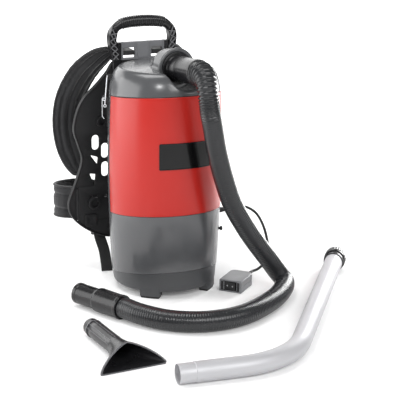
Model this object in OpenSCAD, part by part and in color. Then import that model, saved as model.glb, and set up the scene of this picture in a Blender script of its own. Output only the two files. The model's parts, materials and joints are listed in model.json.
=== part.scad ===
// Backpack vacuum cleaner with its hose, wand, combination tool and cord switch.
// Origin: on the floor under the canister's axis. -Y is the front, +Y the wearer's side, +Z up.

/* [Canister] */
// Outer radius of the canister at its widest height
belly_r = 122.5; // [105:0.5:130]
// Height of that widest place above the floor
belly_z = 270; // [240:1:300]
// Radius of the barrel curve of the canister's side
barrel_r = 3200; // [2400:50:6000]
// Thickness of the tub, lid and base walls
wall = 3; // [2:0.25:4]
// Height of the lid seam at the canister's axis
lid_seam_z = 426; // [400:1:440]
// Height of the red cover's lower edge at the axis
cover_low_z = 173; // [150:1:200]
// Slope of the lid seam and of the cover's edges, front side higher
band_tilt = 6.5; // [0:0.5:9]
// Height of the base seam at the axis
base_seam_z = 40; // [38:1:50]
// Slope of the base seam, front side higher
base_tilt = 10; // [4:0.5:11]
// Height of the base cap's underside
base_z = 14; // [12:1:16]
// Thickness of the red front cover
cover_t = 2.4; // [1.5:0.1:3.5]
// Half angle that the red cover spans from the front
cover_half = 95; // [70:1:98]

/* [Name plate] */
// Width of the name plate round the cover
plate_w = 117; // [80:1:140]
// Height of the name plate
plate_h = 56; // [30:1:80]
// Height of the name plate's middle
plate_z = 302; // [260:1:340]
// Thickness of the name plate
plate_t = 1.8; // [1:0.1:3]

/* [Lid and port] */
// Thickness of the lid gasket
gasket_t = 1.6; // [1:0.1:3]
// Height of the lid's flat top
lid_top_z = 484; // [474:1:496]
// Radius of the lid's flat top
lid_flat_r = 92; // [80:1:96]
// Height of the port's axis above the canister's axis
port_z = 483; // [478:1:490]
// Turn of the port towards +X
port_turn = 6; // [0:1:15]
// Rise of the port's axis
port_rise = 4; // [0:0.5:8]
// Radius of the port's hood
hood_r = 40; // [36:0.5:42]
// Distance of the port's mouth from the axis
port_reach = 54; // [48:1:60]
// Outer radius of the mouth's raised rim
rim_r = 43; // [38:0.5:46]
// Outer radius of the turning hose cuff
cuff_r = 27; // [24:0.5:29]
// Length of the hose cuff outside the port
cuff_out = 92; // [60:1:100]

/* [Side latches] */
// Width of a latch lever
lever_w = 25; // [18:1:30]
// Height of a lever's pivot
lever_z = 414; // [405:1:416]
// Length of a lever below its pivot
lever_len = 36; // [26:1:38]
// Height of a bail's pivot
bail_z = 401; // [396:1:403]
// Height of a bail's cross wire
bail_top_z = 465; // [462:0.5:468]
// Radius of the bail wire
wire_r = 1.25; // [1:0.05:1.5]

/* [Back plate and handle] */
// Front face of the back plate, from the canister's axis
back_y = 134; // [132:1:142]
// Thickness of the back plate
back_t = 5; // [3:0.5:7]
// Depth of the rim round the back plate
back_rim = 11; // [6:1:14]
// Height of the carry handle's top
handle_top = 572; // [564:1:580]
// Outer half width of the carry handle
handle_half = 79; // [74:1:84]
// Thickness of the handle's grip
grip_t = 23; // [18:1:26]
// Width of each of the handle's posts
post_w = 17; // [14:0.5:20]
// Depth of the handle from front to back
handle_d = 20; // [16:1:22]
// Number of ribs across the grip
grip_ribs = 20; // [0:1:26]

/* [Harness] */
// Width of a shoulder pad
pad_w = 66; // [50:1:72]
// Thickness of a shoulder pad
pad_t = 15; // [10:1:18]
// Width of the strap webbing
web_w = 26; // [20:1:30]
// Thickness of the strap webbing
web_t = 2; // [1.5:0.25:3]
// Height of the waist belt's wings
belt_h = 74; // [60:1:80]
// Thickness of the waist belt's wings
belt_t = 10; // [6:1:12]
// Width of the belt's own webbing
belt_web_w = 38; // [30:1:42]

/* [Hose] */
// Outer radius of the hose
hose_r = 21.5; // [20:0.25:22]
// Bore radius of the hose
hose_bore_r = 17.5; // [14:0.25:18]
// Number of ribs along the hose
hose_ribs = 150; // [60:1:200]
// Outer radius of the stepped cuff at the hose's end
end_cuff_r = 25; // [24:0.25:25]
// Radius of the part of that cuff that takes the wand
end_nose_r = 21.6; // [21:0.2:22]
// Bore radius of the end cuff
end_bore_r = 19.2; // [18.8:0.1:19.6]

/* [Wand] */
// Outer radius of the wand tube
wand_r = 20; // [19:0.25:21]
// Wall of the wand tube
wand_wall = 1.5; // [1:0.25:2.5]
// Length of the wand's straight part before the bend
wand_run_a = 125; // [100:5:200]
// Length of the wand's straight part after the bend
wand_run_b = 515; // [400:5:520]
// Bend radius of the wand
wand_bend_r = 180; // [120:5:190]
// Bend angle of the wand
wand_bend = 59; // [40:1:60]
// Length of the wand's narrowed end
wand_neck = 32; // [20:1:40]
// Outer radius of the locking collar
collar_r = 25; // [23.5:0.5:27]

/* [Combination tool] */
// Outer radius of the tool's tube
tool_r = 17.5; // [15:0.5:19]
// Length of the tool's tube
tool_len = 118; // [90:1:130]
// Width of the tool's mouth
mouth_w = 134; // [100:1:150]
// Length of the tool's flare
flare_len = 82; // [60:1:95]

/* [Cord and switch] */
// Radius of the cord
cord_r = 3; // [2.5:0.25:3.5]
// Width of the switch box
box_w = 52; // [44:1:60]
// Length of the switch box
box_len = 74; // [66:1:84]
// Height of the switch box
box_h = 27; // [24:1:34]
// Half angle that the rocker switch tips
rocker_tip = 8; // [4:1:10]

/* [Inside] */
// Height of the motor deck's top
deck_z = 178; // [170:1:186]
// Outer radius of the motor
motor_r = 46; // [38:1:54]
// Outer radius of the fan wheel
fan_r = 58; // [48:1:62]
// Radius of the motor shaft
shaft_r = 5; // [4:0.25:6]
// Radius of the cloth filter bag
bag_r = 98; // [80:1:102]

/* [Hidden] */

$fn = 96;
gap = 0.3;          // clearance between pieces that don't touch
run_fit = 0.05;     // radial clearance of a turning fit
far = 600;          // larger than any cross-section
grey = "#5b5c5e";
dark = "#2b2c2e";
red = "#c03530";
chrome = "#c9ccd0";

// ---------------------------------------------------------------- canister shape
// outer radius of the canister at height z
function can_r(z) = belly_r - pow(z - belly_z, 2) / (2 * barrel_r);
function steps(a, b, n) = [for (i = [0:n]) a + (b - a) * i / n];
// height of a plane through z0 on the axis, sloping by t, at y
function plane_z(z0, t, y) = z0 - y * tan(t);

module below(z0, t) translate([0, 0, z0]) rotate([-t, 0, 0])
    translate([-far / 2, -far / 2, -far]) cube([far, far, far]);
module above(z0, t) translate([0, 0, z0]) rotate([-t, 0, 0])
    translate([-far / 2, -far / 2, 0]) cube([far, far, far]);
// solid of revolution that follows the canister, drawn in by d; its rings are always at the same heights
low_z = 10;
high_z = 460;
module barrel(d, fine = 96) rotate_extrude($fn = fine)
    polygon(concat([[0, low_z]], [for (z = steps(low_z, high_z, 15)) [can_r(z) - d, z]], [[0, high_z]]));
module band(z0, z1) translate([-far / 2, -far / 2, z0]) cube([far, far, z1 - z0]);
// wedge that spans the angle h to each side of the front
module front_wedge(h) linear_extrude(far)
    polygon(concat([[0, 0]], [for (a = steps(-h, h, 12)) far / 3 * [sin(a), -cos(a)]]));

ledge_z = deck_z - 4;
ledge_t = 8;
spacer_x = 46;
spacer_z = [110, 380];
spacer_r = 11;
gland_z = 152;
seat_d = cover_t - 0.4;                // depth of the recess that the red cover sits in
tub_in = wall + seat_d;                // from the canister's surface to the tub's inside
screw_r = 2;
screw_head = 4;
deck_screw_r = can_r(deck_z) - tub_in - screw_head - 0.5;
deck_hole_r = deck_screw_r - 5;        // radius of the opening inside the ledge
pad_y = can_r(spacer_z[0]) + 0.5;      // flat face of the tub's rear pads
gland_x = can_r(gland_z) + 3;

module tub() color(grey) difference() {
    union() {
        difference() {
            barrel(0);
            barrel(tub_in);
            below(base_seam_z, base_tilt);
            above(lid_seam_z, band_tilt);
        }
        // ledge that carries the motor deck
        difference() {
            intersection() {
                barrel(1);
                band(ledge_z - ledge_t, ledge_z);
            }
            translate([0, 0, ledge_z - ledge_t - 1]) cylinder(r = deck_hole_r, h = ledge_t + 2);
        }
        // pads on the back for the back plate's spacers, and the one that the cord gland stands on
        difference() {
            union() {
                for (sx = [-1, 1], z = spacer_z) translate([sx * spacer_x, 60, z])
                    rotate([-90, 0, 0]) cylinder(r = spacer_r, h = pad_y - 60);
                translate([60, 0, gland_z]) rotate([0, 90, 0]) cylinder(r = 13, h = gland_x - 60);
            }
            barrel(wall + 1);
        }
    }
    // recess of the red cover
    difference() {
        intersection() {
            front_wedge(cover_half + 0.4);
            above(cover_low_z - gap, band_tilt);
        }
        barrel(seat_d);
    }
    // holes for the back plate's screws
    for (sx = [-1, 1], z = spacer_z) translate([sx * spacer_x, 60, z])
        rotate([-90, 0, 0]) cylinder(r = screw_r + gap, h = 80);
    // way in for the cord
    translate([80, 0, gland_z]) rotate([0, 90, 0]) cylinder(r = 7.3, h = 60);
    // holes for the deck's screws
    for (a = [45:90:315]) rotate(a) translate([deck_screw_r, 0, ledge_z - ledge_t - 1])
        cylinder(r = screw_r + gap, h = ledge_t + 2);
}

module front_cover() color(red) intersection() {
    difference() {
        barrel(seat_d - cover_t);
        barrel(seat_d);
        below(cover_low_z, band_tilt);
        above(lid_seam_z, band_tilt);
    }
    front_wedge(cover_half);
}

module name_plate() color("#1c1c1d") intersection() {
    difference() {
        barrel(seat_d - cover_t - plate_t);
        barrel(seat_d - cover_t);
        below(plate_z - plate_h / 2, band_tilt);
        above(plate_z + plate_h / 2, band_tilt);
    }
    front_wedge(plate_w / 2 / can_r(plate_z) * 180 / PI);
}

// ---------------------------------------------------------------- base
foot_half = 42;                            // angle of a foot from the front or the back
foot_turn = 3.5;                           // the base is fitted a little turned
foot_a = [for (a = [foot_half, 180 - foot_half, 180 + foot_half, -foot_half]) a + foot_turn];
foot_w = 44;
foot_out = 112;                            // how far the feet reach out
foot_in = 90;
foot_top = 27;
cap_edge = 5;                              // how far the cap's lower edge is rounded in
module at_foot(a) rotate(a - 90) children();

pad_up = 4;                                // thickness of the rubber under a foot
foot_peg_r = 5;
foot_peg_h = 5;
mid_foot_r = 17;                           // round foot under the middle of the base
cap_screw_r = 74;
cap_boss_h = 20;
cap_in = 1;                                // the cap is this much smaller than the tub
// profile of the cap's side, drawn in by d, from the height z0
function cap_side(z0, d) = concat([for (a = [0:15:90]) [can_r(base_z) - cap_in - d - cap_edge * (1 - sin(a)),
    z0 + cap_edge * (1 - cos(a))]], [for (z = steps(z0 + cap_edge + 4, 80, 5)) [can_r(z) - cap_in - d, z]]);
module base_cap() color("#525355") difference() {
    union() {
        difference() {
            rotate_extrude() polygon(concat([[0, base_z]], cap_side(base_z, 0), [[0, 80]]));
            rotate_extrude() polygon(concat([[0, base_z + wall]], cap_side(base_z + wall, wall), [[0, 80.01]]));
        }
        // foot lugs
        for (a = foot_a) at_foot(a) intersection() {
            translate([foot_in, -foot_w / 2, pad_up]) cube([foot_out - foot_in, foot_w, foot_top - pad_up]);
            cylinder(r = foot_out, h = foot_top);
        }
        // bosses for the screws that hold the cap to the motor shell
        for (a = [0:90:270]) rotate(a) translate([cap_screw_r, 0, base_z + 1])
            cylinder(r = 6, h = cap_boss_h);
    }
    above(base_seam_z - gap, base_tilt);
    // outlet slots under the exhaust filter
    difference() {
        for (i = [-5:5]) translate([i * 11 - 2, -48, base_z - 1]) cube([4, 96, wall + 2]);
        translate([0, 0, base_z - 2]) cylinder(r = mid_foot_r + 3, h = wall + 4);
    }
    for (a = foot_a) at_foot(a) translate([(foot_in + foot_out) / 2, 0, pad_up - 1])
        cylinder(r = foot_peg_r, h = foot_peg_h + 1);
    translate([0, 0, base_z - 1]) cylinder(r = foot_peg_r, h = wall + 2);
    for (a = [0:90:270]) rotate(a) translate([cap_screw_r, 0, base_z - 1])
        cylinder(r = screw_r + gap, h = cap_boss_h + 4);
}

module feet() color("#1d1d1e") {
    for (a = foot_a) at_foot(a) {
        intersection() {
            translate([foot_in + 1, -foot_w / 2 + 2, 0]) cube([foot_out - foot_in - 2, foot_w - 4, pad_up]);
            cylinder(r = foot_out - 1.5, h = pad_up);
        }
        translate([(foot_in + foot_out) / 2, 0, pad_up - 1]) cylinder(r = foot_peg_r, h = foot_peg_h + 1);
    }
    cylinder(r1 = mid_foot_r - 2, r2 = mid_foot_r, h = base_z);
    translate([0, 0, base_z - 1]) cylinder(r = foot_peg_r, h = wall + 0.5);
}

module screw(len, r = screw_r, head = screw_head, head_h = 2.4) {
    cylinder(r = r, h = len);
    translate([0, 0, -head_h]) cylinder(r = head, h = head_h);
}
module base_screws() color(chrome) for (a = [0:90:270]) rotate(a)
    translate([cap_screw_r, 0, base_z]) screw(cap_boss_h + 12);

// ---------------------------------------------------------------- lid and port
port_d = [sin(port_turn) * cos(port_rise), -cos(port_turn) * cos(port_rise), sin(port_rise)];
function on_port(l) = [0, 0, port_z] + l * port_d;
module port_frame() translate([0, 0, port_z]) rotate([0, 0, port_turn])
    rotate([90 - port_rise, 0, 0]) children();
lid_r = can_r(lid_seam_z);
lid_turn_z = lid_seam_z - 4;           // height where the lid's side starts to curve in
function lid_edge(d) = [for (a = [0:9:90]) [lid_flat_r + (lid_r - lid_flat_r - d) * cos(a),
    lid_turn_z + (lid_top_z - d - lid_turn_z) * sin(a)]];
crown = 2;                             // rise of the lid's top in its middle
module dome(d, fine = 96) rotate_extrude($fn = fine) polygon(concat([[0, lid_seam_z - 30]],
    [[lid_r - d, lid_seam_z - 30]], lid_edge(d),
    [for (u = [0.75, 0.5, 0.25, 0]) [lid_flat_r * u, lid_top_z - d + crown * (1 - u * u)]]));
// hood over the port, drawn in by d
hood_back = 30;                        // from the hood's round rear to its mouth
module hood(d) port_frame() {
    translate([0, 0, port_reach - hood_back]) cylinder(r = hood_r - d, h = hood_back - 3);
    translate([0, 0, port_reach - hood_back]) sphere(r = hood_r - d);
}
rim_l = 9;
bush_r = 34;
stub_r = 24;
stub_low = 399.4;

module lid() color(grey) difference() {
    union() {
        difference() {
            union() {
                dome(0);
                hood(0);
            }
            // inside of the dome, less the scoop's wall
            difference() {
                dome(wall);
                port_frame() translate([0, 0, port_reach - 5]) cylinder(r = hood_r + wall, h = 200);
                hood(0.01);
            }
            below(lid_seam_z + gasket_t, band_tilt);
            // scoop in front of the mouth
            port_frame() translate([0, 0, port_reach]) cylinder(r = hood_r, h = 200);
        }
        // raised rim of the mouth and the bush seat behind it
        port_frame() translate([0, 0, port_reach - rim_l]) rotate_extrude()
            polygon([[bush_r, 0], [hood_r - 1, 0], [rim_r - 2, 1], [rim_r, 3],
                [rim_r, rim_l - 3], [rim_r - 1, rim_l - 1], [rim_r - 3, rim_l], [bush_r, rim_l]]);
        // inlet stub that reaches down to the bag's collar
        translate([0, 0, stub_low]) cylinder(r = stub_r, h = lid_top_z - stub_low - 1);
    }
    hood(wall);
    port_frame() translate([0, 0, port_reach - bush_l - 8]) cylinder(r = bush_r, h = bush_l + 9);
    translate([0, 0, stub_low - 1]) cylinder(r = stub_r - wall, h = port_z - stub_low);
}

module lid_gasket() color("#232324") difference() {
    barrel(0.8);
    barrel(tub_in - 0.2);
    below(lid_seam_z, band_tilt);
    above(lid_seam_z + gasket_t, band_tilt);
}

bush_l = 13;
module port_bush() color(dark) port_frame() translate([0, 0, port_reach - bush_l]) difference() {
    cylinder(r = bush_r, h = bush_l);
    translate([0, 0, -1]) cylinder(r = cuff_r + run_fit, h = bush_l + 2);
}

cuff_bore = 22;
module hose_cuff() color(dark) port_frame() difference() {
    union() {
        translate([0, 0, port_reach - bush_l - 6]) cylinder(r = cuff_r, h = bush_l + 6 + cuff_out);
        // collar behind the bush that keeps the cuff in the port
        translate([0, 0, port_reach - bush_l - 4 - gap]) cylinder(r = cuff_r + 3, h = 4);
        // shoulder outside the bush
        translate([0, 0, port_reach + gap]) cylinder(r = cuff_r + 1.5, h = 4);
    }
    translate([0, 0, port_reach - bush_l - 7]) cylinder(r = cuff_bore, h = bush_l + 8 + cuff_out);
}

// ---------------------------------------------------------------- side latches
// drawn at +X, then turned to their angle from the front
latch_a = 110;
module at_latch() rotate(latch_a - 90) children();
base_x = can_r(400) + 1.5;       // seat of the latch bases on the tub
base_t = 2;
pivot_x = base_x + 7;            // lever's pivot, from the canister's axis
bail_x = pivot_x - 1;            // bail's pivot
axle_r = 1.8;
hub_r = 3.6;
ear_y = 8;                       // the base's ears, from the latch's middle
ear_t = 1.6;
ear_low = 1.6;                   // the ears are lower behind the axle, clear of the open lever
cheek_y = ear_y + 2.1;           // the lever's own sides
cheek_t = 1.2;
lever_gap = 4;                   // lever's plate, outside its pivot
lever_t = 1.5;
keeper_w = 16;
keeper_h = 9;
bail_bar_x = pivot_x - 6.5;
bail_leg_y = lever_w / 2 + wire_r + 1.2;
catch_a = 55;                    // steepness of the keeper's shoulder
wire_gap = 0.25;
module pin_y(x, z, r, len) translate([x, 0, z]) rotate([90, 0, 0]) cylinder(r = r, h = len, center = true);

module latch_base() color(dark) at_latch() difference() {
    union() {
        translate([base_x - 12, -lever_w / 2, lever_z - 60]) cube([12 + base_t, lever_w, 64]);
        for (s = [-1, 1]) translate([0, s * ear_y, 0]) {
            translate([base_x, -ear_t / 2, bail_z - hub_r])
                cube([bail_x - base_x, ear_t, lever_z - bail_z + 2 * hub_r - ear_low]);
            pin_y(pivot_x, lever_z, hub_r, ear_t);
            pin_y(bail_x, bail_z, hub_r, ear_t);
        }
        // axles of the lever and of the bail
        pin_y(pivot_x, lever_z, axle_r, 2 * (cheek_y + cheek_t));
        pin_y(bail_x, bail_z, axle_r, 2 * (bail_leg_y + wire_r));
    }
    barrel(0, fine = 360);
}
module latch_lever() color(chrome) at_latch() difference() {
    union() {
        translate([pivot_x + lever_gap, -lever_w / 2, lever_z - lever_len]) cube([lever_t, lever_w, lever_len + 3]);
        // finger lip
        translate([pivot_x + lever_gap, -lever_w / 2, lever_z - lever_len]) rotate([0, 35, 0])
            translate([0, 0, -7]) cube([lever_t, lever_w, 8]);
        // sides and hub on the axle
        for (s = [-1, 1]) translate([0, s * cheek_y, 0]) {
            pin_y(pivot_x, lever_z, hub_r, cheek_t);
            translate([pivot_x, -cheek_t / 2, lever_z - hub_r]) cube([lever_gap + 1, cheek_t, 2 * hub_r]);
        }
        pin_y(pivot_x, lever_z, hub_r - 0.2, 2 * (ear_y - ear_t / 2 - 0.5));
        translate([pivot_x, -(ear_y - ear_t / 2 - 0.5), lever_z - 1.5])
            cube([lever_gap + 1, 2 * (ear_y - ear_t / 2 - 0.5), 3]);
    }
    pin_y(pivot_x, lever_z, axle_r + run_fit, lever_w + 10);
}
module latch_bail() color(chrome) at_latch() difference() {
    union() {
        // cross wire over the keeper
        pin_y(bail_bar_x, bail_top_z, wire_r, 2 * (bail_leg_y + wire_r));
        for (s = [-1, 1]) {
            rod([bail_x, s * bail_leg_y, bail_z], [bail_bar_x, s * bail_leg_y, bail_top_z], wire_r - 0.05);
            translate([0, s * bail_leg_y, 0]) pin_y(bail_x, bail_z, hub_r, 2 * wire_r);
        }
    }
    pin_y(bail_x, bail_z, axle_r + run_fit, 2 * bail_leg_y + 10);
}
// lug on the lid with a steep shoulder that the bail's wire lies against
module keeper() color(dark) {
    d = wire_r + wire_gap;
    foot = [bail_bar_x - d * sin(catch_a), bail_top_z - d * cos(catch_a)];
    run = [cos(catch_a), -sin(catch_a)];
    at_latch() difference() {
        translate([0, keeper_w / 2, 0]) rotate([90, 0, 0]) linear_extrude(keeper_w)
            polygon([foot - 1.6 * run, foot + 5 * run, foot + 5 * run - [0, keeper_h - 4],
                [lid_flat_r, foot.y - keeper_h], [lid_flat_r, foot.y + 1.6 * sin(catch_a)]]);
        dome(0, 360);
    }
}
// straight round rod from a to b
module rod(a, b, r) {
    v = b - a;
    translate(a) rotate([0, acos(v.z / norm(v)), atan2(v.y, v.x)]) cylinder(r = r, h = norm(v));
}
module on_left() mirror([1, 0, 0]) children();

// ---------------------------------------------------------------- back plate and handle
hand_room = 56;                        // from the cross plate to the handle's top
cross_h = 39;
cross_high = handle_top - hand_room;
cross_low = cross_high - cross_h;
cross_half = 51;
foot_low = cross_low - 41;             // lower end of the handle's feet
// outline of the back plate's right half, as x and z
plate_pts = [[0, cross_low - gap], [52, cross_low - gap], [70, cross_low - 5], [84, cross_low - 25],
    [104, 430], [143, 389],
    [161, 334], [151, 292], [143, 258], [157, 212], [175, 161], [164, 126], [130, 96], [84, 76], [0, 74]];
function spline_at(a, b, c, d, t) = 0.5 * (2 * b + (c - a) * t
    + (2 * a - 5 * b + 4 * c - d) * t * t + (3 * b - a - 3 * c + d) * t * t * t);
// smooth curve through the points p, n steps between neighbours
function smooth(p, n) = let (m = len(p) - 1) [for (i = [0:m - 1]) for (k = [0:n - 1])
    spline_at(i == 0 ? 2 * p[0] - p[1] : p[i - 1], p[i], p[i + 1],
        i + 2 > m ? 2 * p[m] - p[m - 1] : p[i + 2], k / n), p[m]];
// outline drawn in by d along its normals
function drawn_in(p, d) = let (m = len(p) - 1) [for (i = [0:m]) let (t = p[min(i + 1, m)] - p[max(i - 1, 0)])
    p[i] + d * [t.y, -t.x] / norm(t) * 1];
half_edge = smooth(plate_pts, 4);
function both(p) = concat(p, [for (i = [len(p) - 2:-1:1]) [-p[i].x, p[i].y]]);
rim_w = 4;
module upright(y0, d) translate([0, y0 + d, 0]) rotate([90, 0, 0]) linear_extrude(d) children();
module slot(x, z, w, h) translate([x - w / 2, z - h / 2]) square([w, h]);
module oval(x, z, w, h) translate([x, z]) {
    square([w, h - w], center = true);
    for (s = [-1, 1]) translate([0, s * (h - w) / 2]) circle(d = w);
}
belt_slot_x = 153;
belt_mid_z = 158;
boss_hi = [97, 343];
boss_lo = [115, 158];
slot_x = 33;
slot_w = 31;

module back_plate() color(dark) difference() {
    union() {
        upright(back_y, back_t) polygon(both(half_edge));
        upright(back_y - (back_rim - back_t) / 2, back_rim) difference() {
            polygon(both(half_edge));
            polygon(both(drawn_in(half_edge, rim_w)));
        }
        // round bosses on the front face
        for (s = [-1, 1]) {
            translate([s * boss_hi.x, back_y - 9, boss_hi.y]) rotate([-90, 0, 0]) cylinder(r = 12, h = 10);
            translate([s * boss_lo.x, back_y - 8, boss_lo.y]) rotate([-90, 0, 0]) cylinder(r = 14, h = 9);
            translate([s * 123 - 14, back_y - 5, 106]) cube([28, 6, 27]);
        }
    }
    upright(back_y - 12, back_t + 30) {
        for (s = [-1, 1]) {
            oval(s * 110, 296, 17, 34);
            oval(s * 88, 276, 17, 34);
            oval(s * 88, 234, 17, 34);
            polygon([[s * 122, 268], [s * 104, 262], [s * 106, 246]]);
            polygon([[s * 124, 226], [s * 110, 224], [s * 113, 196]]);
            for (x = [120, 108, 87]) translate([s * x, 172]) circle(r = 3.4);
            slot(s * belt_slot_x, belt_mid_z, slot_thin + 2, belt_h + 2);
        }
    }
    translate([-far / 2, back_y - 20, cross_low - gap]) cube([far, 40, 60]);
    for (s = [-1, 1]) {
        translate([s * boss_hi.x, back_y - 10, boss_hi.y]) rotate([-90, 0, 0]) cylinder(r = 7, h = 6);
        translate([s * boss_lo.x, back_y - 9, boss_lo.y]) rotate([-90, 0, 0]) cylinder(r = 9, h = 5);
        for (z = spacer_z) translate([s * spacer_x, back_y - 20, z])
            rotate([-90, 0, 0]) cylinder(r = screw_r + gap, h = 60);
        // seats of the handle's feet
        for (z = handle_screw_z) translate([s * foot_x, back_y - 20, z]) rotate([-90, 0, 0])
            cylinder(r = screw_r + gap, h = 60);
    }
}
handle_screw_z = [foot_low + 10, foot_low + 26];
foot_x = 61;
tab_w = 20;
hand_half = handle_half - post_w;          // half width of the hand hole
handle_y = back_y - 10;                    // front of the handle
rim_y = back_y - (back_rim - back_t) / 2;  // front of the plate's rim
// right halves of the handle's outline and of its hand hole, as x and z
loop_pts = [[0, handle_top], [28, handle_top - 1.5], [handle_half - 28, handle_top - 6],
    [handle_half - 12, handle_top - 17], [handle_half - 3, handle_top - 32], [handle_half, handle_top - 48],
    [handle_half - 2, cross_high - 10], [handle_half - 6, cross_low + 13], [handle_half - 7, cross_low]];
hole_pts = [[0, handle_top - grip_t], [28, handle_top - grip_t - 1], [hand_half - 12, handle_top - grip_t - 5],
    [hand_half - 3, handle_top - grip_t - 14], [hand_half, handle_top - grip_t - 24], [hand_half, cross_high]];

module grip_band(d) difference() {
    polygon(both([for (q = smooth(loop_pts, 4)) q + [0, d]]));
    polygon(both([for (q = smooth(hole_pts, 4)) q - [0, d]]));
}
module carry_handle() color("#1e1e20") difference() {
    union() {
        upright(handle_y, handle_d) difference() {
            polygon(both(smooth(loop_pts, 4)));
            polygon(both(smooth(hole_pts, 4)));
            translate([-cross_half, cross_high - far]) square([2 * cross_half, far]);
            translate([-hand_half, cross_high - 1]) square([2 * hand_half, 2]);
        }
        // posts beside the cross plate
        for (s = [-1, 1]) translate([s * (cross_half + hand_half) / 2, handle_y + handle_d / 2, cross_high - 4])
            cube([hand_half - cross_half, handle_d, 8], center = true);
        // tabs in front of the back plate
        for (s = [-1, 1]) translate([s * foot_x - tab_w / 2, handle_y, foot_low])
            cube([tab_w, rim_y - handle_y, cross_low - foot_low + 4]);
        // ribs across the grip
        intersection() {
            for (i = [0:grip_ribs - 1]) translate([(i - (grip_ribs - 1) / 2) * rib_step - rib_w / 2,
                handle_y - rib_up, handle_top - grip_t - 8]) cube([rib_w, handle_d + rib_up, grip_t + 12]);
            upright(handle_y - rib_up, handle_d + rib_up) grip_band(rib_up);
        }
    }
    for (s = [-1, 1], z = handle_screw_z) translate([s * foot_x, handle_y - 1, z]) rotate([-90, 0, 0])
        cylinder(r = screw_r + gap, h = handle_d + 2);
}
rib_step = 4.6;
rib_w = 2.2;
rib_up = 1;
module cross_plate() color("#6a6b6d") difference() {
    translate([-cross_half, back_y - 6, cross_low]) cube([2 * cross_half, 6 + back_t, cross_high - cross_low]);
    for (s = [-1, 1]) {
        upright(back_y - 7, 20) slot(s * slot_x, cross_low + 22, slot_w, 9);
        upright(back_y - 7, 20) slot(s * slot_x, cross_low + 7, slot_w, 6);
    }
}
module plate_spacers() color(dark) for (s = [-1, 1], z = spacer_z) difference() {
    translate([s * spacer_x, pad_y, z]) rotate([-90, 0, 0]) cylinder(r = spacer_r - 1, h = back_y - pad_y);
    translate([s * spacer_x, pad_y - 1, z]) rotate([-90, 0, 0]) cylinder(r = screw_r + gap, h = 80);
}
module plate_screws() color(chrome) {
    for (s = [-1, 1], z = spacer_z) translate([s * spacer_x, back_y + back_t, z])
        rotate([90, 0, 0]) screw(back_y + back_t - pad_y + 14);
    for (s = [-1, 1], z = handle_screw_z) translate([s * foot_x, back_y + back_t, z])
        rotate([90, 0, 0]) screw(back_y + back_t - handle_y - 1);
}

// ---------------------------------------------------------------- swept forms
function unit(v) = v / norm(v);
function total(v, i = 0) = i >= len(v) ? 0 : v[i] + total(v, i + 1);
// running length along the points q
function along(q) = [for (i = 0, s = 0; i < len(q); s = s + (i + 1 < len(q) ? norm(q[i + 1] - q[i]) : 0),
    i = i + 1) s];
// point at the length s on the curve q, whose running lengths are c
function at_len(q, c, s) = [for (k = [0:2]) lookup(s, [for (i = [0:len(q) - 1]) [c[i], q[i][k]]])];
function tangent(p, i) = unit(p[min(i + 1, len(p) - 1)] - p[max(i - 1, 0)]);
// a side direction carried along the curve without twist
function carried(n, t) = unit(n - (n * t) * t);
function sides(p, n0) = [for (i = 0, n = carried(n0, tangent(p, 0)); i < len(p);
    i = i + 1, n = carried(n, tangent(p, min(i, len(p) - 1)))) n];
// ring of m points, radius r, at p, square to t
function ring(p, t, n, r, m) = let (b = cross(t, n)) [for (k = [0:m - 1])
    p + r * (cos(360 * k / m) * n + sin(360 * k / m) * b)];
// triangles between the rings a and b of m points
function belt(a, b, m) = [for (k = [0:m - 1]) each
    [[a + k, a + (k + 1) % m, b + k], [a + (k + 1) % m, b + (k + 1) % m, b + k]]];
// closed solid through rings of equal count; the ends close on their middles
module skin(rings) {
    m = len(rings[0]);
    n = len(rings);
    first = [for (k = [0:2]) total([for (p = rings[0]) p[k]]) / m];
    last = [for (k = [0:2]) total([for (p = rings[n - 1]) p[k]]) / m];
    polyhedron(points = concat([for (r = rings) each r], [first, last]), faces = concat(
        [for (i = [0:n - 2]) each belt(i * m, (i + 1) * m, m)],
        [for (k = [0:m - 1]) [n * m, (k + 1) % m, k]],
        [for (k = [0:m - 1]) [n * m + 1, (n - 1) * m + k, (n - 1) * m + (k + 1) % m]]));
}
// plain round tube solid along p
module cable(p, r, m, n0 = [0, 0, 1]) {
    s = sides(p, n0);
    skin([for (i = [0:len(p) - 1]) ring(p[i], tangent(p, i), s[i], r, m)]);
}

// ---------------------------------------------------------------- harness
// middle line of the right shoulder pad, from the cross plate to its lower end
pad_pts = [[58, 163, cross_low + 17], [84, 181, cross_low], [112, 208, 440], [134, 230, 385], [142, 236, 330],
    [140, 226, 278], [132, 204, 236], [126, 184, 212]];
pad_line = smooth(pad_pts, 3);
// crowned cross-section of a pad: across, outwards
function pad_section(w, t) = [for (q = [[-0.5, 0], [-0.47, 0.34], [-0.36, 0.5], [-0.24, 0.36], [-0.12, 0.5],
    [0, 0.38], [0.12, 0.5], [0.24, 0.36], [0.36, 0.5], [0.47, 0.34], [0.5, 0], [0.44, -0.4],
    [0.2, -0.5], [-0.2, -0.5], [-0.44, -0.4]]) [q.x * w, q.y * t]];
// share of the full width and thickness at the share u of the length: both ends, or the far end only
function both_ends(u) = 1 - 0.55 * pow(abs(2 * u - 1), 6);
function far_end(u) = 1 - 0.45 * pow(u, 8);
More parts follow.
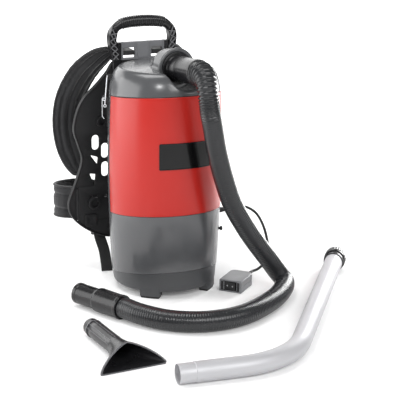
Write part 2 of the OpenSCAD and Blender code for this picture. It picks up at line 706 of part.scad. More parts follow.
// quilted strip along p, w wide and t thick, with w and t given at every point
module strip(p, across, w, t) skin([for (i = [0:len(p) - 1])
    let (d = tangent(p, i), a = carried(across, d), o = cross(a, d))
    [for (q = pad_section(w[i], t[i])) p[i] + q.x * a + q.y * o]]);
module flat_strip(p, across, w, t) {
    n = len(p) - 1;
    skin([for (i = [0:n]) let (d = tangent(p, i), a = carried(across, d), o = cross(a, d))
        [p[i] - w / 2 * a - t / 2 * o, p[i] - w / 2 * a + t / 2 * o,
         p[i] + w / 2 * a + t / 2 * o, p[i] + w / 2 * a - t / 2 * o]]);
}
pad_n = len(pad_line) - 1;
seat_gap = 0.4;                // between a soft piece's end and what it is sewn to
module shoulder_pad() color("#222224") strip(pad_line, [1, 0.15, 0],
    [for (i = [0:pad_n]) pad_w * both_ends(i / pad_n)],
    [for (i = [0:pad_n]) pad_t * min(1, 0.15 + both_ends(i / pad_n))]);
// webbing from the cross plate's slots to the pad, and from the pad down behind the hip
pad_from = tangent(pad_line, 0);
pad_to = tangent(pad_line, pad_n);
sewn = 4;                      // length of webbing that runs straight to a pad's end
web_z = cross_low + 19;        // height where the webbing passes through the upper slot
top_web_pts = [[slot_x, back_y - 7.5, web_z - 8], [slot_x, back_y - 7.5, web_z - 2],
    [slot_x, back_y - 6.6, web_z], [slot_x, back_y - 4.5, web_z + 0.3],
    [slot_x, 142, web_z + 0.5], [slot_x + 3, 150, web_z + 1.5],
    pad_pts[0] - 2 * sewn * pad_from, pad_pts[0] - sewn * pad_from];
low_web_pts = [pad_line[pad_n] + sewn * pad_to, [124, 172, 180], [118, 160, 140],
    [108, 150, 108], [101, 146, 92]];
module strap() color("#19191a") {
    flat_strip(concat(smooth(top_web_pts, 3), [pad_pts[0] - seat_gap * pad_from]), [1, 0, 0], web_w, web_t);
    flat_strip(concat([pad_line[pad_n] + seat_gap * pad_to], smooth(low_web_pts, 3)), [1, 0, 0], web_w, web_t);
}
tail_pts = [[100, 146, 88], [97, 145, 70], [93, 131, 46], [94, 115, 22], [95, 106, 4]];
module tail() color("#19191a") flat_strip(smooth(tail_pts, 3), [1, 0, 0], web_w, web_t);
buckle_at = [100.5, rim_y + back_rim + gap + 2.5, 89];
module strap_buckle() difference() {
    translate(buckle_at) cube([web_w + 10, 5, 16], center = true);
    translate(buckle_at) for (s = [-1, 1]) translate([0, 0, s * 3.4]) cube([web_w + 3, 8, 3.6], center = true);
}
module strap_buckles() color("#1b1b1c") {
    strap_buckle();
    on_left() strap_buckle();
}

// ---------------------------------------------------------------- waist belt
wing_pts = [[belt_slot_x, back_y - 3], [belt_slot_x + 1, 146], [162, 158], [176, 168], [185, 180], [187, 195],
    [176, 210], [152, 219], [112, 225], [70, 229]];
wing_line = [for (p = smooth(wing_pts, 3)) [p.x, p.y, belt_mid_z]];
wing_n = len(wing_line) - 1;
slot_thin = 4;                 // the wing is stitched flat where it passes the back plate
module belt_wing() color("#2a2a2b") strip(wing_line, [0, 0, 1],
    [for (i = [0:wing_n]) belt_h * far_end(i / wing_n)],
    [for (i = [0:wing_n]) slot_thin + (belt_t - slot_thin) * min(1, max(0, (i - 4) / 5)) * far_end(i / wing_n)]);
module belt_webbing() color("#19191a") {
    for (s = [0, 1]) mirror([s, 0, 0]) flat_strip(smooth([[69.6, 229.1, belt_mid_z], [48, 231, belt_mid_z],
        [buckle_w / 2 - 4 + seat_gap, 232, belt_mid_z]], 3), [0, 0, 1], belt_web_w, web_t);
}
buckle_w = 52;
module belt_buckle() color("#1b1b1c") difference() {
    translate([-buckle_w / 2, 226, belt_mid_z - 24]) cube([buckle_w, 12, 48]);
    for (s = [-1, 1]) translate([s * buckle_w / 2 - 4, 224, belt_mid_z - belt_web_w / 2 - 1])
        cube([8, 16, belt_web_w + 2]);
}

// ---------------------------------------------------------------- hose
hose_start = on_port(port_reach + cuff_out + gap);
// route of the hose's middle line after its straight start
hose_pts = [[16, -166, 490.5], [15, -181, 481], [14, -191, 465], [16, -194, 445], [20, -193, 420],
    [28, -189, 390], [41, -181, 338], [61, -172, 278], [87, -162, 215], [123, -152, 157],
    [154, -146, 114], [185, -141, 75], [208, -139, 44], [219, -147, 28], [214, -165, 22],
    [196, -192, 21.5], [160, -232, 21.5], [108, -272, 21.5], [55, -301, 21.5], [0, -312, 21.5],
    [-55, -303, 21.5], [-105, -272, 21.5], [-142, -226, 23], [-158, -196, 25], [-165, -181, 25]];
hose_line = smooth(concat([hose_start, hose_start + 8 * port_d], hose_pts), 6);
hose_c = along(hose_line);
hose_len = hose_c[len(hose_c) - 1];
flare_r = 27;                 // the hose is thicker where it meets the cuff
flare_run = 70;
rib_deep = 2;
function hose_out(s) = hose_r + (flare_r - hose_r) * pow(max(0, 1 - s / flare_run), 1.5);
hose_s = [for (i = [0:2 * hose_ribs - 1]) hose_len * i / (2 * hose_ribs - 1)];
hose_p = [for (s = hose_s) at_len(hose_line, hose_c, s)];
bore_s = [for (i = [0:70]) hose_len * i / 70];
bore_p = [for (s = bore_s) at_len(hose_line, hose_c, s)];
echo(hose_length_mm = hose_len);
module hose() color(dark) {
    m = 8;
    n = len(hose_p);
    k = len(bore_p);
    // the first and last rings lie square to the cuffs that they meet
    to = [for (i = [0:n - 1]) i == 0 ? port_d : i == n - 1 ? end_dir : tangent(hose_p, i)];
    ti = [for (i = [0:k - 1]) i == 0 ? port_d : i == k - 1 ? end_dir : tangent(bore_p, i)];
    so = sides(hose_p, [1, 0, 0]);
    si = sides(bore_p, [1, 0, 0]);
    outer = [for (i = [0:n - 1]) each ring(hose_p[i], to[i], carried(so[i], to[i]),
        hose_out(hose_s[i]) - (i % 2 == 0 || i == n - 1 ? 0 : rib_deep), m)];
    inner = [for (i = [0:k - 1]) each ring(bore_p[i], ti[i], carried(si[i], ti[i]), hose_bore_r, m)];
    polyhedron(points = concat(outer, inner), faces = concat(
        [for (i = [0:n - 2]) each belt(i * m, (i + 1) * m, m)],
        [for (i = [0:k - 2]) each [for (f = belt((n + i) * m, (n + i + 1) * m, m)) [f[2], f[1], f[0]]]],
        [for (j = [0:m - 1]) each [[j, n * m + j, (j + 1) % m], [(j + 1) % m, n * m + j, n * m + (j + 1) % m]]],
        [for (j = [0:m - 1]) let (a = (n - 1) * m, b = (n + k - 1) * m)
            each [[a + j, a + (j + 1) % m, b + j], [a + (j + 1) % m, b + (j + 1) % m, b + j]]]));
}

// stepped cuff at the hose's end; local +Z runs from the hose to the mouth
end_at = hose_pts[len(hose_pts) - 1];
end_dir = unit(end_at - hose_pts[len(hose_pts) - 2]);
wide_l = 69;
nose_l = 61;
module end_frame() translate(end_at + gap * end_dir) rotate([90, 0, atan2(end_dir.y, end_dir.x) + 90])
    children();
module hose_end_cuff() color(dark) end_frame() difference() {
    union() {
        cylinder(r = end_cuff_r, h = wide_l);
        translate([0, 0, wide_l - 1]) cylinder(r1 = end_cuff_r, r2 = end_nose_r, h = 5);
        cylinder(r = end_nose_r, h = wide_l + nose_l);
    }
    translate([0, 0, -1]) cylinder(r = end_bore_r, h = wide_l + nose_l + 2);
}

// ---------------------------------------------------------------- cord and switch
gland_l = 22;
module cord_gland() color(dark) translate([gland_x, 0, gland_z]) rotate([0, 90, 0]) difference() {
    union() {
        translate([0, 0, -16]) cylinder(r = 7, h = 16);
        cylinder(r = 10, h = 4);
        translate([0, 0, 4]) cylinder(r1 = 7, r2 = cord_r + 1.6, h = gland_l - 4);
    }
    translate([0, 0, -17]) cylinder(r = cord_r + gap / 2, h = 30);
}
// switch box: local +X runs from its face to the cord
box_at = [107, -116, 0];
box_turn = 43;
relief_l = 20;
cord_in = [box_len, -10, 17];
module box_frame() translate(box_at) rotate(box_turn) children();
function in_box(p) = box_at + [p.x * cos(box_turn) - p.y * sin(box_turn),
    p.x * sin(box_turn) + p.y * cos(box_turn), p.z];
box_corner = 14;
split_z = 13;
face_deep = 4;
module box_plan(d) {
    translate([d, -box_w / 2 + d]) square([box_len - box_corner - d, box_w - 2 * d]);
    translate([box_len - box_corner - 1, -box_w / 2 + box_corner]) square([box_corner + 1 - d, box_w - 2 * box_corner]);
    for (s = [-1, 1]) translate([box_len - box_corner, s * (box_w / 2 - box_corner)]) circle(r = box_corner - d);
}
rocker_h = 17;
rocker_r = 14;                 // the rocker's ends turn inside this radius
rocker_axle = [4, 0, box_h / 2 + 0.5];
module rocker_hole() translate([-1, -rocker_r - gap, rocker_axle.z - rocker_h / 2 - gap])
    cube([rocker_axle.x + rocker_r + 3, 2 * (rocker_r + gap), rocker_h + 2 * gap]);
module switch_shell(z0, z1) difference() {
    translate([0, 0, z0]) linear_extrude(z1 - z0) box_plan(0);
    translate([0, 0, max(z0, 2.5) - (z0 > 0 ? 1 : 0)]) linear_extrude(min(z1, box_h - 2.5) - max(z0, 2.5)
        + (z0 > 0 ? 1 : 0) + (z1 < box_h ? 1 : 0)) box_plan(2.5);
    rocker_hole();
    translate([cord_in.x - 5, cord_in.y, cord_in.z]) rotate([0, 90, 0]) cylinder(r = cord_r + 2 + gap, h = 10);
}
module switch_base() color("#3a3b3d") box_frame() {
    switch_shell(0, split_z);
}
module switch_cover() color("#6d6e70") box_frame() switch_shell(split_z, box_h);
module switch_relief() color(dark) box_frame() translate(cord_in) rotate([0, 90, 0]) difference() {
    union() {
        translate([0, 0, -5]) cylinder(r = cord_r + 2, h = 5);
        cylinder(r1 = cord_r + 2, r2 = cord_r + 0.8, h = relief_l);
    }
    translate([0, 0, -6]) cylinder(r = cord_r + gap / 2, h = 10);
}
// the rocker rests tipped to one side
module switch_rocker() color("#232425") box_frame() translate(rocker_axle) rotate(-rocker_tip)
    intersection() {
        translate([0, 0, -rocker_h / 2]) cylinder(r = rocker_r, h = rocker_h);
        translate([0, 0, -rocker_h / 2]) linear_extrude(rocker_h)
            polygon([[-5.5, -20], [-3.6, 0], [-5.5, 20], [6, 20], [6, -20]]);
    }
// route of the cord, from the gland to the switch box
cord_start = [gland_x + gland_l, 0, gland_z];
cord_end = in_box(cord_in + [relief_l, 0, 0]);
cord_pts = [[184, -2, 155], [202, -6, 150], [218, -12, 137], [229, -19, 116],
    [235, -27, 92], [236, -36, 68], [231, -43, 46], [221, -46, 29], [207, -47, 19]];
cord_line = concat([cord_start], smooth(concat([cord_start + [6, 0, 0], cord_start + [12, 0, 0.2]], cord_pts,
    [in_box(cord_in + [relief_l + 12, 0, 0]), in_box(cord_in + [relief_l + 6, 0, 0])]), 3), [cord_end]);
echo(cord_length_mm = along(cord_line)[len(cord_line) - 1]);
module switch_cord() color("#1a1a1b") cable(cord_line, cord_r, 8, [0, 1, 0]);

// ---------------------------------------------------------------- wand
wand_at = [-190, -530, wand_r];
wand_turn = -5.3;
wand_tilt = asin((collar_r - wand_r + 0.4) / (wand_bend_r * (1 - cos(wand_bend)) + (wand_run_b - 44) * sin(wand_bend)));
module wand_frame() translate(wand_at) rotate([0, 0, wand_turn]) rotate([wand_tilt, 0, 0]) children();
wand_lap = 3;          // the straight parts run this far into the bend
wand_thin = 0.05;      // the bend's wall is drawn thinner by this at each side
module wand_straight(len, lap) difference() {
    translate([-lap, 0, 0]) rotate([0, 90, 0]) cylinder(r = wand_r, h = len + lap);
    translate([-lap - 1, 0, 0]) rotate([0, 90, 0]) cylinder(r = wand_r - wand_wall, h = len + lap + 2);
}
module wand_tube() {
    wand_straight(wand_run_a + wand_lap, 0);
    translate([wand_run_a, wand_bend_r, 0]) rotate([0, 0, -90]) rotate_extrude(angle = wand_bend)
        translate([wand_bend_r, 0]) difference() {
            circle(r = wand_r - wand_thin);
            circle(r = wand_r - wand_wall + wand_thin);
        }
    translate([wand_run_a, wand_bend_r, 0]) rotate([0, 0, wand_bend]) translate([0, -wand_bend_r, 0])
        wand_straight(wand_run_b, wand_lap);
}
module wand_end() translate([wand_run_a, wand_bend_r, 0]) rotate([0, 0, wand_bend])
    translate([wand_run_b, -wand_bend_r, 0]) rotate([0, 90, 0]) children();
neck_in = 0.9;
module wand() color("#eceded") wand_frame() difference() {
    wand_tube();
    // the near end is drawn in to plug into the hose cuff
    translate([-1, 0, 0]) rotate([0, 90, 0]) difference() {
        cylinder(r = wand_r + 5, h = wand_neck + 1);
        cylinder(r = wand_r - neck_in, h = wand_neck + 2);
    }
    // groove that keeps the collar
    wand_end() translate([0, 0, -collar_back - 1]) difference() {
        cylinder(r = wand_r + 2, h = 2);
        translate([0, 0, -1]) cylinder(r = wand_r - 0.8, h = 4);
    }
}
collar_back = 40;
collar_front = 4;
collar_teeth = 28;
module wand_collar() color("#19191a") wand_frame() wand_end() difference() {
    union() {
        translate([0, 0, -collar_back]) cylinder(r = wand_r + 2.6, h = 4);
        translate([0, 0, -collar_back + 3]) cylinder(r = wand_r + 1.6, h = collar_back + collar_front - 3);
        translate([0, 0, -collar_back + 16]) cylinder(r = collar_r - 0.6, h = 5);
        translate([0, 0, -collar_back + 26]) cylinder(r = collar_r - 1.4, h = collar_back + collar_front - 27);
        for (i = [0:collar_teeth - 1]) rotate((i + 0.5) * 360 / collar_teeth)
            translate([collar_r - 3, -1.2, -collar_back + 27]) cube([2.6, 2.4, collar_back + collar_front - 29]);
    }
    translate([0, 0, -collar_back - 1]) cylinder(r = wand_r + run_fit, h = collar_back + collar_front + 2);
}

// ---------------------------------------------------------------- combination tool
tool_at = [-254, -237, tool_r];
tool_turn = -85.5;
lip_h = 4;
tool_wall = 2.2;
plug_l = 16;
plug_in = 0.6;                 // the plain end is this much thinner
module tool_frame() translate(tool_at) rotate([0, 0, tool_turn]) children();
// flare from the tube to the mouth, drawn in by d
module flare(d) hull() {
    translate([tool_len, 0, 1]) rotate([0, 90, 0]) cylinder(r = tool_r + 1 - d, h = 1, $fn = 32);
    translate([tool_len + flare_len - 6, -mouth_w / 2 + d, -tool_r + d])
        cube([6 - d, mouth_w - 2 * d, lip_h]);
    translate([tool_len + 10, 0, -tool_r + d]) cylinder(r = tool_r + 4, h = 2, $fn = 32);
}
module combination_tool() color("#161617") tool_frame() difference() {
    union() {
        // plain end that plugs into the wand, then the tube itself
        rotate([0, 90, 0]) cylinder(r = tool_r - plug_in, h = tool_len);
        translate([plug_l, 0, 0]) rotate([0, 90, 0]) cylinder(r = tool_r, h = tool_len + 2 - plug_l);
        flare(0);
        // ribs along the tube
        for (a = [20, 50, 90, 130, 160]) rotate([a - 90, 0, 0]) translate([plug_l + 1, -0.6, tool_r - 1])
            cube([tool_len + 2 - plug_l, 1.2, 2]);
    }
    translate([-1, 0, 0]) rotate([0, 90, 0]) cylinder(r = tool_r - tool_wall, h = tool_len + 4);
    // the mouth is open on its sloping upper side
    hull() {
        translate([tool_len, 0, 0]) rotate([0, 90, 0]) cylinder(r = tool_r - tool_wall - 0.6, h = 1, $fn = 32);
        translate([tool_len + flare_len - 9, -mouth_w / 2 + 6, -tool_r + tool_wall]) cube([5, mouth_w - 12, lip_h]);
    }
    hull() {
        translate([tool_len + 12, -tool_r + 4, 0]) cube([2, 2 * tool_r - 8, tool_r + 6]);
        translate([tool_len + flare_len - 10, -mouth_w / 2 + 8, -tool_r + tool_wall]) cube([5, mouth_w - 16, 12]);
    }
}

// ---------------------------------------------------------------- inside
module bag_ring() color("#3b3b3d") difference() {
    translate([0, 0, ring_z]) cylinder(r = can_r(ring_z) - wall - seat_d - gap, h = 5);
    translate([0, 0, ring_z - 1]) cylinder(r = bag_r, h = 7);
}
ring_z = 392;
module cloth_filter() color("#d8d4c8") difference() {
    translate([0, 0, deck_z + 10]) cylinder(r = bag_r - gap, h = ring_z + 4 - deck_z - 10);
    translate([0, 0, deck_z + 13]) cylinder(r = bag_r - 3, h = 400);
}
module dust_bag() color("#c9b08a") rotate_extrude() polygon([[0, deck_z + 13.3], [70, deck_z + 13.3],
    [86, deck_z + 28], [90, deck_z + 90], [84, 360], [60, 376], [32, 380], [32, collar_z], [0, collar_z]]);
collar_z = 396;
module bag_collar() color("#b8935f") difference() {
    translate([-45, -45, collar_z]) cube([90, 90, 3]);
    translate([0, 0, collar_z - 1]) cylinder(r = stub_r - wall, h = 5);
}
deck_r = can_r(deck_z) - wall - seat_d - gap;
module motor_deck() color("#47484a") difference() {
    union() {
        translate([0, 0, ledge_z]) cylinder(r = deck_r, h = deck_z - ledge_z);
        translate([0, 0, deck_z - 1]) cylinder(r = 40, h = 8);
    }
    translate([0, 0, ledge_z - 1]) cylinder(r = 32, h = 20);
    for (a = [45:90:315]) rotate(a) translate([deck_screw_r, 0, ledge_z - 1])
        cylinder(r = screw_r + gap, h = 12);
}
module deck_screws() color(chrome) for (a = [45:90:315]) rotate(a)
    translate([deck_screw_r, 0, deck_z]) mirror([0, 0, 1]) screw(11, head = 3.4);
module deck_gasket() color("#232324") translate([0, 0, ledge_z - gasket_l]) difference() {
    cylinder(r = fan_r + 6, h = gasket_l);
    translate([0, 0, -1]) cylinder(r = 40, h = gasket_l + 2);
}
gasket_l = 3;
fan_top = ledge_z - gasket_l;
fan_low = 128;
module fan_cover() color("#9b9da0") difference() {
    translate([0, 0, fan_low]) cylinder(r = fan_r + 6, h = fan_top - fan_low);
    translate([0, 0, fan_low + 3]) cylinder(r = fan_r + 4, h = fan_top - fan_low - 5);
    translate([0, 0, fan_low + 3]) cylinder(r = 30, h = 60);
    translate([0, 0, fan_low - 1]) cylinder(r = 20, h = 6);
    for (a = [0:30:330]) rotate(a) translate([44, 0, fan_low - 1]) cylinder(r = 6, h = 5);
}
blades = 8;
module fan_wheel() color("#b5b7ba") difference() {
    union() {
        translate([0, 0, fan_low + 8]) cylinder(r = fan_r, h = 2);
        translate([0, 0, fan_low + 8]) cylinder(r = 12, h = 24);
        for (i = [0:blades - 1]) rotate(i * 360 / blades) translate([11, -1, fan_low + 9]) cube([fan_r - 12, 2, 20]);
        translate([0, 0, fan_low + 28]) difference() {
            cylinder(r = fan_r, h = 2);
            translate([0, 0, -1]) cylinder(r = 28, h = 4);
        }
    }
    translate([0, 0, fan_low + 6]) cylinder(r = shaft_r, h = 40);
}
motor_low = 58;
brg_r = 11;
brg_h = 7;
brg_z = [motor_low + 4, fan_low - 11];
module motor_shell() color("#3f4042") difference() {
    union() {
        translate([0, 0, motor_low]) cylinder(r = motor_r, h = fan_low - motor_low);
        // feet that stand on the base cap's bosses
        for (a = [0:90:270]) rotate(a) {
            translate([cap_screw_r, 0, base_z + cap_boss_h + 1]) cylinder(r = 7, h = 10);
            translate([motor_r - 4, -5, motor_low]) cube([cap_screw_r - motor_r + 8, 10, 6]);
            translate([cap_screw_r, 0, base_z + cap_boss_h + 10]) cylinder(r = 7, h = motor_low + 6 - base_z - cap_boss_h - 10);
        }
    }
    translate([0, 0, motor_low + 12]) cylinder(r = motor_r - 3, h = fan_low - motor_low - 24);
    for (z = brg_z) translate([0, 0, z]) cylinder(r = brg_r, h = brg_h);
    translate([0, 0, motor_low - 1]) cylinder(r = shaft_r + 1.5, h = fan_low - motor_low + 2);
    translate([0, 0, motor_low + 11]) cylinder(r = 20, h = 2);
    for (a = [0:90:270]) rotate(a) translate([cap_screw_r, 0, base_z + cap_boss_h])
        cylinder(r = screw_r + gap, h = 14);
    for (a = [45:90:315], z = [motor_low + 24, motor_low + 44]) rotate(a) translate([motor_r - 8, 0, z])
        rotate([0, 90, 0]) cylinder(r = 5, h = 12);
}
stator_r = motor_r - 3 - gap;
module motor_stator() color("#8a5a32") difference() {
    translate([0, 0, motor_low + 16]) cylinder(r = stator_r, h = fan_low - motor_low - 32);
    translate([0, 0, motor_low + 15]) cylinder(r = rotor_r + 1, h = 60);
}
rotor_r = 22;
module motor_rotor() color("#a9abae") {
    translate([0, 0, motor_low + 18]) cylinder(r = rotor_r, h = fan_low - motor_low - 36);
    translate([0, 0, motor_low + 2]) cylinder(r = shaft_r, h = fan_low + 34 - motor_low);
}
module motor_bearings() color(chrome) for (z = brg_z) translate([0, 0, z]) difference() {
    cylinder(r = brg_r, h = brg_h);
    translate([0, 0, -1]) cylinder(r = shaft_r + run_fit, h = brg_h + 2);
}
module exhaust_filter() color("#6f7274") difference() {
    translate([0, 0, base_z + wall]) cylinder(r = 64, h = 14);
    translate([0, 0, base_z + wall + 4]) cylinder(r = 40, h = 20);
}

tub();
front_cover();
name_plate();
base_cap();
feet();
base_screws();
lid();
lid_gasket();
port_bush();
hose_cuff();
on_left() keeper();  // keeper_left
keeper();  // keeper_right
on_left() latch_base();  // latch_base_left
latch_base();  // latch_base_right
on_left() latch_lever();  // latch_lever_left
latch_lever();  // latch_lever_right
on_left() latch_bail();  // latch_bail_left
latch_bail();  // latch_bail_right
back_plate();
carry_handle();
cross_plate();
plate_spacers();
plate_screws();
on_left() shoulder_pad();  // shoulder_pad_left
shoulder_pad();  // shoulder_pad_right
on_left() strap();  // strap_left
strap();  // strap_right
strap_buckles();
on_left() belt_wing();  // belt_wing_left
belt_wing();  // belt_wing_right
belt_webbing();
belt_buckle();
on_left() tail();  // tail_left
tail();  // tail_right
hose();
hose_end_cuff();
cord_gland();
switch_cord();
switch_relief();
switch_base();
switch_cover();
switch_rocker();
wand();
wand_collar();
combination_tool();
cloth_filter();
bag_ring();
dust_bag();
bag_collar();
motor_deck();
deck_screws();
deck_gasket();
fan_cover();
fan_wheel();
motor_shell();
motor_stator();
motor_rotor();
motor_bearings();
exhaust_filter();
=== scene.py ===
"""Backpack vacuum cleaner: the dressed model of the canister, harness, hose, wand, tool and cord switch."""
import json
import math

import bmesh
import bpy
import numpy as np
from mathutils import Matrix, Vector


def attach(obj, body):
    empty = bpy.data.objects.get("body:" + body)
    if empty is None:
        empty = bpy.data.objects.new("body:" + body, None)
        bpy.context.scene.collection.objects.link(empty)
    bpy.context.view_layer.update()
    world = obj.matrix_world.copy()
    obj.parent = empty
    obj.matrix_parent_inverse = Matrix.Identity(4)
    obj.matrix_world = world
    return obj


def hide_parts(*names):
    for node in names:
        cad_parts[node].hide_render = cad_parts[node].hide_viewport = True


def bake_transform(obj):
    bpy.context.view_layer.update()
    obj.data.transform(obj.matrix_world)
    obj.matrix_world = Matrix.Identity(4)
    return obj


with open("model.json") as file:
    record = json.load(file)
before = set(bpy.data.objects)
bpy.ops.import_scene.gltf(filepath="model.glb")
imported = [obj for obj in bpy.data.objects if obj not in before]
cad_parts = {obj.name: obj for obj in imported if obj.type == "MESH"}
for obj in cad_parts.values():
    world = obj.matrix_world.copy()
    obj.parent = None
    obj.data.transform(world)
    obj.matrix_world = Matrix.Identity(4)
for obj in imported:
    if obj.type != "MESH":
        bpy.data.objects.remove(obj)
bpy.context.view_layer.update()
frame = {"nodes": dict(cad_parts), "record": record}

bl_info = {
    "name": "Backpack vacuum cleaner",
    "version": (1, 0, 0),
    "blender": (4, 5, 0),
    "location": "View3D > Sidebar > Vacuum",
    "description": "Builds the pieces of a backpack vacuum cleaner over its construction model",
    "category": "Object",
}

MM = 0.001
SLOTS = {part["node"]: part["material_slot"] for part in frame["record"]["subparts"]}

# ---------------------------------------------------------------- sizes shared by the pieces, in mm
BELLY_R, BELLY_Z, BARREL_R = 122.5, 270.0, 3200.0
WALL, SEAT, COVER_T = 3.0, 2.0, 2.4
LID_SEAM, COVER_LOW, BAND_TILT = 426.0, 173.0, 6.5
BASE_SEAM, BASE_TILT = 40.0, 10.0
COVER_HALF = 95.0
GASKET_T = 1.6
GAP = 0.3
CORD_Z = 152.0
PORT_D = np.array([0.104274, -0.992100, 0.069756])
PORT_AT = np.array([0.0, 0.0, 483.0])
PORT_REACH = 54.0
CROSS_LOW, CROSS_HIGH, CROSS_HALF = 477.0, 516.0, 51.0
BACK_Y, BACK_T, BACK_RIM = 134.0, 5.0, 11.0
HANDLE_Y = 134.0
BELT_Z = 158.0


def smooth_line(points, steps):
    """Catmull-Rom curve: each span is the cubic whose end slopes are half the chord between its
    neighbours."""
    p = np.asarray(points, float)
    p = np.vstack([2 * p[0] - p[1], p, 2 * p[-1] - p[-2]])
    t = (np.arange(steps) / steps)[None, :, None]
    a, b, c, d = (p[k:len(p) - 3 + k][:, None, :] for k in range(4))
    q = 0.5 * (2 * b + (c - a) * t + (2 * a - 5 * b + 4 * c - d) * t ** 2 + (3 * b - a - 3 * c + d) * t ** 3)
    return np.vstack([q.reshape(-1, p.shape[1]), p[-2]])


def unit(v):
    """Vectors divided by their own lengths."""
    v = np.asarray(v, float)
    return v / np.maximum(np.linalg.norm(v, axis=-1, keepdims=True), 1e-9)


def running(points):
    """Length along the points, from the first."""
    return np.concatenate([[0.0], np.cumsum(np.linalg.norm(np.diff(points, axis=0), axis=1))])


def at_lengths(points, s):
    """Points of a polyline at the lengths s, by straight interpolation."""
    c = running(points)
    return np.stack([np.interp(s, c, points[:, k]) for k in range(points.shape[1])], 1)


def tangents(points):
    """Direction of a line at each of its points: the chord between the two neighbours."""
    q = np.vstack([2 * points[0] - points[1], points, 2 * points[-1] - points[-2]])
    return unit(q[2:] - q[:-2])


def carried(points, hint):
    """Directions along a line, and a side direction that is carried from ring to ring without twist."""
    t = tangents(points)
    side = np.zeros_like(t)
    n = np.asarray(hint, float)
    for i, d in enumerate(t):
        n = n - (n @ d) * d
        n = n / np.linalg.norm(n)
        side[i] = n
    return t, side


def grid(rows, cols, loop_rows=False, loop_cols=False):
    """Four-sided faces between neighbours of a grid of points, numbered row by row."""
    i = np.arange(rows if loop_rows else rows - 1)[:, None]
    j = np.arange(cols if loop_cols else cols - 1)[None, :]
    k, l = (i + 1) % rows, (j + 1) % cols
    return np.stack([i * cols + j, i * cols + l, k * cols + l, k * cols + j], -1).reshape(-1, 4).tolist()


def skin(rings, caps=True, loop=False):
    """Shell through rings of points; the first and last rings are closed flat where caps is true."""
    n, m = rings.shape[:2]
    faces = grid(n, m, loop, True)
    if caps and not loop:
        faces += [list(range(m))[::-1], list(range((n - 1) * m, n * m))]
    return rings.reshape(-1, 3), faces


def swept(points, section, hint, across=None, caps=True):
    """Section carried along a line: point + x times the side direction + y times the one square to it.
    The section is one outline, or one for each point of the line."""
    if across is None:
        t, a = carried(points, hint)
    else:
        t = tangents(points)
        a = unit(across - np.sum(across * t, 1, keepdims=True) * t)
    o = np.cross(a, t)
    section = np.asarray(section, float)
    if section.ndim == 2:
        section = np.broadcast_to(section, (len(points), *section.shape))
    rings = points[:, None] + section[..., :1] * a[:, None] + section[..., 1:] * o[:, None]
    return skin(rings, caps)


def rect(x0, y0, x1, y1):
    """Corners of an upright rectangle, from one corner to the opposite one."""
    return [[x0, y0], [x1, y0], [x1, y1], [x0, y1]]


def placed(points, at, turn):
    """Points turned about the vertical by an angle, then moved to a place."""
    p = np.asarray(points, float)
    c, n = math.cos(turn), math.sin(turn)
    return at + np.stack([p[..., 0] * c - p[..., 1] * n, p[..., 0] * n + p[..., 1] * c, p[..., 2]], -1)


def face_at(x, y, z, across=1, into=1):
    """Place of a flat upright slab: from its corner, u runs along x, the depth along y and v along z."""
    return lambda u, v, d: np.stack([x + across * u, y + into * d, z + v], -1)


def circle(r, m):
    """Circle of m points and radius r."""
    t = 2 * np.pi * np.arange(m) / m
    return np.stack([r * np.cos(t), r * np.sin(t)], 1)


def squircle(w, h, power, m):
    """Superellipse: half width times cosine to 2/power, half height times sine to 2/power."""
    t = 2 * np.pi * np.arange(m) / m
    c, s = np.cos(t), np.sin(t)
    return np.stack([w * np.sign(c) * np.abs(c) ** (2 / power), h * np.sign(s) * np.abs(s) ** (2 / power)], 1)


def filleted(corners, radius, steps=4, loop=True):
    """Outline with its corners rounded by parabolas that start one radius before each corner and end one
    after."""
    p = np.asarray(corners, float)
    n = len(p)
    radius = np.broadcast_to(radius, n)
    out = []
    for i in range(n):
        if not loop and i in (0, n - 1) or radius[i] == 0:
            out.append(p[i])
            continue
        a, b = p[i - 1] - p[i], p[(i + 1) % n] - p[i]
        la, lb = np.linalg.norm(a), np.linalg.norm(b)
        r = min(radius[i], 0.48 * la, 0.48 * lb)
        a, b = p[i] + a / la * r, p[i] + b / lb * r
        for t in np.linspace(0, 1, steps + 1):
            out.append((1 - t) ** 2 * a + 2 * t * (1 - t) * p[i] + t ** 2 * b)
    return np.array(out)


def turned(profile, origin, axis, sides=96, hint=(0, 0, 1), loop=True):
    """Body of revolution: origin + height times the axis + radius times the circle's direction."""
    d = unit(axis)
    h = np.asarray(hint, float)
    if abs(h @ d) > 0.9:
        h = np.array([1.0, 0.0, 0.0])
    x = unit(h - (h @ d) * d)
    y = np.cross(d, x)
    t = 2 * np.pi * np.arange(sides) / sides
    ring = np.cos(t)[:, None] * x + np.sin(t)[:, None] * y
    p = np.asarray(profile, float)
    points = np.asarray(origin, float) + p[:, None, 1:] * d + p[:, None, :1] * ring[None]
    return points.reshape(-1, 3), grid(len(p), sides, loop, True)


